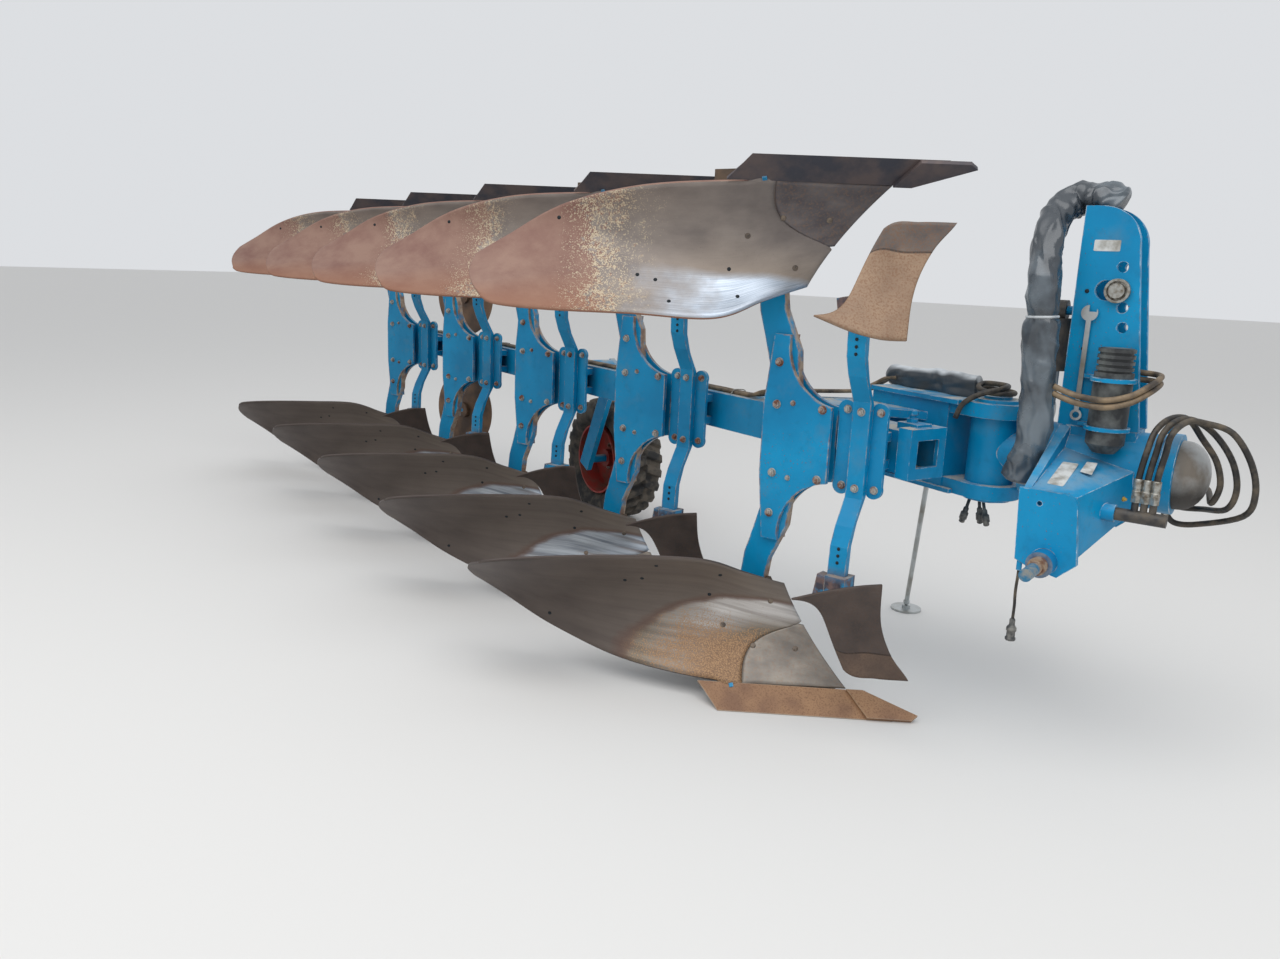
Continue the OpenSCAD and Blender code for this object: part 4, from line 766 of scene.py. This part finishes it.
def skim_steel(name, low, high, rust, share_low, share_high, shine):
    """Skimmer steel over u and v: cloudy from low to high and specked with rust; its own
    little share, below v = 0.26, is a shade from share_low to share_high."""
    f = Finish(name, metallic=shine, roughness=0.55)
    v = f.part(f.uv, 1)
    cloud = f.ramp(f.noise(3, 6, f.uv), 0.36, 0.64)
    speck = f.noise(170, 4)
    scratch = f.noise(1, 7, f.stretch(4, 90), 0.7)
    colour = f.mix(cloud, low, high)
    colour = f.fade(v, 0.27, 0.255, colour, f.mix(cloud, share_low, share_high))
    line = f.times(f.ramp(v, 0.25, 0.258), f.ramp(v, 0.274, 0.266))
    colour = f.mix(f.times(line, 0.8), colour, (40, 32, 28))
    colour = f.fade(speck, 0.46, 0.66, colour, rust, 0.6)
    colour = f.fade(scratch, 0.55, 0.75, colour, (56, 48, 44), 0.3)
    f.bump(f.less(f.plus(speck, scratch), f.times(line, 3)), 0.2, 0.0012)
    return f.put(Base_Color=colour, Roughness=f.ramp(cloud, 0, 1, 0.5, 0.68))


skim_steels = (skim_steel("skimmer_lower", (66, 58, 55), (92, 80, 74), (86, 68, 58),
                          (84, 70, 62), (112, 92, 78), 0.35),
               skim_steel("skimmer_upper", (136, 110, 88), (158, 132, 108),
                          (122, 84, 58), (84, 78, 76), (118, 104, 94), 0.1))
# Each board is cut like an apron: its front edge is bayed and ends in a point below, and
# its back edge draws out into a thin ear at the top.
skim_thickness = 0.008
s, t = np.meshgrid(np.linspace(0, 1, 44), np.linspace(0, 1, 34))
front = 0.08 + 1.3 * t * (1 - t) - 0.26 * np.clip(1 - t / 0.25, 0, 1) ** 2
back = 2.12 + 0.15 * t + 0.78 * t ** 8
a = front + (back - front) * s
*skim_sheet, skim_uv = steel_sheet(skim_rows, a, t, skim_thickness)
sheet_rows("skimmers", skim_sheet, skim_uv, "rusty_steel", skim_steels, "skimmer_boards")

# Disc coulters cut the furrow's edge ahead of the last body, one for each row. They are
# rolled steel, brown with rust since the plough was parked.
finish_nodes(clouded("disc_steel", (9, 6), (0.38, 0.62), (92, 76, 66), (134, 104, 80), metallic=0.3,
                     roughness=0.6, bump=(110, 5, 0.25, 0.001)), "lower_disc", "upper_disc")

# The depth wheel: a black agricultural tyre with chevron lugs on a red pressed rim, held
# by six nuts to the hub on the arm's axle. Soil lies in the tread.
tyre_radius, wheel_along, wheel_side = 0.350, 2.170, 0.484
lug_height, lug_count = 0.0215, 24
beam_angle, beam_offset = math.atan2(step, spacing), 0.312


def turned_about_z(points, angle, place):
    """Points turned clockwise by angle about Z, to (x cos + y sin, y cos - x sin, z), then
    moved to place in the row's frame."""
    c, s = math.cos(angle), math.sin(angle)
    x, y, z = np.moveaxis(np.asarray(points, float), -1, 0)
    return np.stack([x * c + y * s, y * c - x * s, z], -1) + STATION + place


def beside_beam(points):
    """Points given along the beam, to its left and up from the ground."""
    return turned_about_z(points, beam_angle, [0, beam_offset, 0])


wheel_centre = np.array([-wheel_along, wheel_side, tyre_radius])
turn_angle = np.linspace(0, 2 * math.pi, 481)[:-1]
# the carcass from bead to crown, as [radius, distance from the middle]
section = np.array([[200.3, -90], [214, -104], [240, -124], [275, -130], [302, -126], [318, -112],
                    [325, -95], [328, -70], [328, -45], [328, -20], [328, 0]]) / 1000
section = np.concatenate([section, section[-2::-1] * [1, -1]])
fine_section = np.concatenate([np.linspace(p, q, 4)[:-1]
                               for p, q in zip(section[:-1], section[1:])] + [section[-1:]])
radius, angle = np.meshgrid(fine_section[:, 0], turn_angle)
side = np.broadcast_to(fine_section[:, 1], radius.shape)
# a lug stands where its phase is near a half; the phase grows with side, as a chevron
chevron, half_lug, flank, lug_foot = 4.5, 0.30, 0.07, 0.285
phase = angle * lug_count / (2 * math.pi) + np.where(side > 0, 0.5, 0.0) + np.abs(side) * chevron
lug = np.clip((half_lug - np.abs(phase % 1 - 0.5)) / flank, 0, 1)
height = radius + lug_height * lug * np.clip((radius - lug_foot) / 0.03, 0, 1)
rings = np.stack([height * np.cos(angle), side, height * np.sin(angle)], -1)
index = np.arange(radius.size).reshape(radius.shape)
nxt = np.roll(index, -1, axis=0)
faces = np.stack([index, np.roll(index, -1, 1), np.roll(nxt, -1, 1), nxt], -1).reshape(-1, 4)
tyre_rubber = clouded("tyre_rubber", (14, 6), (0.4, 0.62), (38, 38, 38), (92, 84, 74),
                      roughness=0.8, bump=(130, 4, 0.3, 0.001))
tyre = linked_mesh("wheel_tyre", beside_beam(rings.reshape(-1, 3) + wheel_centre), faces,
                   "wheel", "tyre_rubber", tyre_rubber)
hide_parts("tyre")
finish_nodes(clouded("red_paint", (12, 6), (0.45, 0.66), (150, 44, 36), (112, 72, 60),
                     bump=(60, 4, 0.15, 0.001)), "wheel_rim")
nut_circle, nut_face, nut_count = 0.075, -0.0062, 6
nut_angles = np.arange(nut_count) * 2 * math.pi / nut_count
nut_points, nut_faces = gather([
    set_on(hex_bolt(11), (nut_circle * math.cos(k), nut_face, nut_circle * math.sin(k)),
           (0, -1, 0)) for k in nut_angles])
linked_mesh("wheel_nuts", beside_beam(nut_points + wheel_centre), nut_faces, "wheel", "dark_steel",
            bolt_steel, smooth=False)

# The protective sleeve round the oil hoses: black coated cloth, crumpled and shiny, that
# climbs behind the tower, bends over its top and is tied in once on the way.
sleeve_points = np.array([[748, 198, -52], [762, 198, 10], [783, 200, 110], [775, 200, 250],
                          [766, 200, 400], [757, 206, 540], [738, 262, 670], [732, 345, 752],
                          [758, 410, 800], [812, 420, 812], [858, 420, 812], [900, 420, 792]],
                         float)
sleeve_path = rope_path((sleeve_points + [0, 0, 1000 * MID_Z]) / 1000 + STATION, 22)
run = np.linspace(0, 1, len(sleeve_path))[:, None]
sleeve_sides, tied_at = 72, 0.398
around = (np.arange(sleeve_sides) * 2 * math.pi / sleeve_sides)[None, :]
creases = (0.080 * np.sin(2 * around + 9 * run + 1.3 * np.sin(31 * run))
           + 0.060 * np.sin(3 * around - 21 * run + 1.8 * np.sin(17 * run + around))
           + 0.030 * np.sin(7 * around + 41 * run + 2.0 * np.sin(3 * around + 53 * run)))
ridges = 0.085 * (1 - 2 * np.abs(np.sin(2 * around + 27 * run + 1.6 * np.sin(around - 37 * run))))
tie = np.exp(-((run - tied_at) / 0.008) ** 2)
climb = sleeve_path[:, 2:] - MID_Z
fat = (0.0425 + 0.0075 * np.clip((climb - 0.06) / 0.10, 0, 1)
       - 0.003 * np.clip((climb - 0.62) / 0.10, 0, 1))
sleeve_r = fat * (1 + creases + 0.6 * ridges) * (1 - 0.16 * tie)
near_foot, near_top = np.clip(1 - run / 0.02, 0, 1), np.clip(1 - (1 - run) / 0.02, 0, 1)
sleeve_r *= 1 - 0.25 * near_foot - 0.2 * near_top
cloth = Finish("sleeve_cloth")
black = cloth.fade(cloth.noise(6, 4), 0.44, 0.66, (48, 55, 62), (100, 111, 119))
sleeve_cloth = cloth.put(Base_Color=black, Specular_IOR_Level=0.85,
                         Roughness=cloth.ramp(cloth.noise(14, 4), 0.35, 0.65, 0.2, 0.4))
cloth.bump(cloth.noise(20, 4, rough=0.45), 0.5, 0.006)
sleeve = linked_mesh("hose_sleeve_cloth", *tube_surface(sleeve_path, sleeve_r, sleeve_sides),
                     "headstock", "sleeve_fabric", sleeve_cloth)
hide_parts("hose_sleeve")
rows = len(sleeve_path)
strap_radius, strap_out = 0.0042, 0.0012
tied_skin = tube_surface(sleeve_path, sleeve_r + strap_out, sleeve_sides)[0]
tied_rings = tied_skin[:rows * sleeve_sides].reshape(rows, sleeve_sides, 3)
tied_ring = tied_rings[int(tied_at * (rows - 1))]
tie_strap = clouded("tie_strap", (40,), (0, 1), (150, 156, 160), (206, 210, 212), roughness=0.45)
linked_mesh("sleeve_tie",
            *tube_surface(np.concatenate([tied_ring, tied_ring[:1]]), strap_radius, 10),
            "headstock", "grey_cap", tie_strap)

# A second sleeve lies along the top of the swing arm, flattened by its own weight. Its
# cloth is dark, with a pale painted highlight where it faces up and painted shade below.
arm_turn, pivot_place = math.radians(24), [0.600, 0.420, MID_Z]
arm_half, flange, cover_radius, clear = 0.145, 0.014, 0.030, 0.0008


def on_arm(points):
    """Points given back from the barrel (negative x), to the left and up from the beam's
    middle, turned with the arm."""
    return turned_about_z(points, arm_turn, pivot_place)


back = np.linspace(0.090, 0.520, 100)
sagged = 0.012 * np.clip((back - 0.48) / 0.04, 0, 1) ** 2
cover_z = arm_half + flange + cover_radius + clear - sagged
arm_path = on_arm(np.stack([-back, 0.010 * np.sin(back * 30), cover_z], -1))
run = np.linspace(0, 1, len(back))[:, None]
creases = (0.08 * np.sin(2 * around + 5 * run)
           + 0.05 * np.sin(3 * around - 17 * run + 2 * np.sin(9 * run))
           + 0.03 * np.sin(5 * around + 23 * run + np.sin(3 * around)))
arm_r = np.clip(0.0270 * (1 + creases), 0.016, 0.0296) * (1 + 0.75 * np.cos(around) ** 2)
arm_r *= 1 - 0.45 * np.clip((run - 0.93) / 0.07, 0, 1) ** 2
cover = Finish("arm_cloth_painted_light", roughness=0.32)
# Painted light: the cloth is pale where it faces up, in patches, and dark below.
lit = cover.times(cover.ramp(cover.part(cover.facing, 2), 0.25, 0.8),
                  cover.ramp(cover.noise(9, 4), 0.36, 0.58, 0.35, 1))
arm_cloth_painted_light = cover.put(Base_Color=cover.mix(lit, (58, 64, 69), (190, 196, 200)),
                       Specular_IOR_Level=0.7)
cover.bump(cover.noise(20, 4, rough=0.45), 0.5, 0.006)
arm_cloth = linked_mesh("arm_sleeve_cloth", *tube_surface(arm_path, arm_r, sleeve_sides), "frame",
                        "sleeve_fabric", arm_cloth_painted_light)
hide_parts("arm_sleeve")

# Its two hoses leave in front in a curl that lies on the pivot, and end between the arm's
# plates. Behind, they go over to the pipes that run along the beam's dusty top.
curl = np.array([[-150, 12, 190], [-90, 16, 196], [-45, 34, 194], [4, 48, 192], [44, 24, 191],
                 [46, -28, 191], [4, -56, 192], [-48, -44, 202], [-64, -2, 213], [-26, 30, 213],
                 [24, 14, 212], [38, -36, 206], [0, -88, 186], [-40, -118, 150],
                 [-60, -125, 100]]) / 1000
pressure_hose("pivot_hose", rope_path(on_arm(curl), 7), "frame", hose_rubber)
pipe_shapes, clip_shapes = [], []
beam_top = MID_Z + 0.070
along = np.array([-0.22, -0.36, -0.60, -1.05, -1.50, -1.95, -2.40, -2.85, -3.30, -3.62])
lift = np.where(along > -0.3, 0.034, 0.0)
for number, (side_y, radius) in enumerate(((-0.030, 0.0075), (-0.008, 0.0075), (0.018, 0.0060))):
    spread_y = 0.016 * (number - 1)
    first_run = on_arm(np.array([[-0.46, 0, 0.186], [-0.52, 0, 0.176], [-0.56, -0.02, 0.150],
                                 [-0.55, -0.12, 0.128]]) + [0, spread_y, 0])
    sway = 0.004 * np.sin(7.0 * along + 2.0 * number)
    pipe_z = beam_top + radius + 0.0004 + lift
    along_beam = beside_beam(np.stack([along, side_y + sway, pipe_z], -1))
    pipe_path = rope_path(np.concatenate([first_run, along_beam]), 8)
    pipe_shapes.append(tube_surface(pipe_path, radius, 12))
linked_mesh("beam_pipes", *gather(pipe_shapes), "frame", "hose_rubber", wrap_rubber)
arch = np.array([[-52, 2.2], [-44, 2.2], [-38, 12], [-30, 17.8], [-8, 17.8], [18, 15.2],
                 [26, 10], [31, 2.2], [40, 2.2]]) / 1000
for clip_x in (-0.45, -0.82, -1.27, -1.72, -2.17, -2.62, -3.07, -3.52):
    strap = np.stack([np.full(len(arch), clip_x), arch[:, 0], beam_top + arch[:, 1]], -1)
    clip_shapes.append(tube_surface(rope_path(beside_beam(strap), 4), 0.0021, 8))
linked_mesh("pipe_clips", *gather(clip_shapes), "frame", "bright_steel", zinc)

# Three couplers with short necks hang under the pivot, ready for the stand's and wheel's
# hoses. They are black under their dust.
coupler = turned([[5.5, 0], [5.5, 34], [9, 38], [9, 52], [13, 55], [13, 78], [10, 81], [10, 90],
                  [6, 93]], 18)
coupler_shapes = [set_on(coupler, np.array(foot) + STATION, axis) for foot, axis in (
    ((0.548, 0.412, 0.7125), (-0.22, 0.0, -1.0)), ((0.590, 0.420, 0.7125), (0.25, 0.0, -1.0)),
    ((0.572, 0.436, 0.7125), (0.10, 0.12, -1.0)))]
linked_mesh("arm_couplers", *gather(coupler_shapes), "frame", "black_plastic", plug_plastic)

# Blank labels: one near the top of the tower's right plate and two on the headstock's
# sloping top. They are plain film, grey with dust, and carry nothing.
film_thickness, film_sunk = 0.0007, 0.0003


def film_label(corners, outward):
    """Flat film over four corners, each rounded off by 6 % of its sides, raised by its
    thickness along outward."""
    cut = 0.06
    c = np.array(corners) + STATION
    before, after = cut * (np.roll(c, 1, axis=0) - c), cut * (np.roll(c, -1, axis=0) - c)
    loop = np.stack([c + before, c + 0.3 * (before + after), c + after], 1).reshape(-1, 3)
    out = np.asarray(outward, float)
    n = len(loop)
    index = np.arange(n)
    nxt = np.roll(index, -1)
    points = np.concatenate([loop - film_sunk * out, loop + film_thickness * out])
    faces = np.stack([index, nxt, nxt + n, index + n], -1).tolist()
    faces += [(index + n).tolist(), index[::-1].tolist()]
    area = np.cross(c[1] - c[0], c[2] - c[0])
    return points, faces if np.dot(area, out) > 0 else [f[::-1] for f in faces]


label_film = clouded("label_film", (30, 6), (0.42, 0.66), (206, 208, 206), (150, 148, 140),
                     roughness=0.45)
slope = (0.015, -0.306, 0.952)
tower_y = 0.350
labels = [film_label([[x, tower_y, z] for x, z in ((0.849, 1.542), (0.923, 1.542), (0.923, 1.575),
                                                   (0.849, 1.575))], (0, -1, 0)),
          film_label([[0.8685, 0.0807, 0.8664], [0.9152, 0.0772, 0.8645], [0.9183, 0.2260, 0.9123],
                      [0.8726, 0.2247, 0.9126]], slope),
          film_label([[0.9336, 0.1805, 0.8975], [0.9685, 0.1722, 0.8942], [0.9653, 0.2483, 0.9187],
                      [0.9356, 0.2460, 0.9185]], slope)]
linked_mesh("blank_labels", *gather(labels), "headstock", "grey_cap", label_film, smooth=False)

# Small fittings on the headstock: a yellow-capped grease nipple by the hoses, and rivets
# in the tower's plate.
nipple_out = np.array([0.952, -0.306, 0.0])
nipple = set_on(turned([[7.5, 0], [7.5, 4], [5, 6], [4.2, 11]], 16, crown=1),
                np.array([1.045, 0.2678, 0.8193]) + STATION - nipple_out * 0.0005, nipple_out)
linked_mesh("grease_nipple", *nipple, "headstock", "grey_cap",
            Finish("yellow_cap").put(Base_Color=(196, 158, 62)))
rivet = turned([[6.5, 0], [6, 2.2], [3.5, 3.6]], 16, crown=0.4)
rivets = [set_on(rivet, np.array([x, tower_y + 0.0003, z]) + STATION, (0, -1, 0))
          for x, z in ((0.8463, 1.4227), (0.8580, 1.2490), (0.9950, 1.0450))]
linked_mesh("tower_rivets", *gather(rivets), "headstock", "dark_steel", hole_shadow)

# Cap over the shaft's end, valve bar, canister, spanner, pins and the parking stand: grey
# paint, greasy black, dull plastic and plated steel, each with its dust.
cap = Finish("grey_cap", roughness=0.6)
cap_tone = cap.fade(cap.noise(9, 7), 0.4, 0.62, (160, 162, 162), (116, 108, 98))
uneven = cap.plus(cap.part(cap.place, 2), cap.times(cap.noise(14, 6), 0.1))
cap_shadow = cap.ramp(uneven, MID_Z + 0.06, MID_Z - 0.01)
cap.bump(cap.noise(50, 5), 0.25, 0.0015)
finish_nodes(cap.put(Base_Color=cap.mix(cap_shadow, cap_tone, (52, 48, 44))), "hub_cap")
finish_nodes(clouded("black_paint", (20, 6), (0.4, 0.64), (40, 40, 42), (92, 84, 74),
                     rough=(0.38, 0.75)), "turnover_barrel", "valve")
finish_nodes(clouded("black_plastic", (16, 6), (0.40, 0.66), (46, 48, 50), (104, 108, 106),
                     roughness=0.55, bump=(90, 4, 0.15, 0.0008)), "canister")
finish_nodes(clouded("bright_rod", (9, 4), (0.45, 0.7), (186, 190, 190), (140, 136, 126),
                     metallic=0.8, roughness=0.36),
             "stand_rod", "stand_foot", "turnover_rod", "spanner")
finish_nodes(zinc, "top_link_pin")
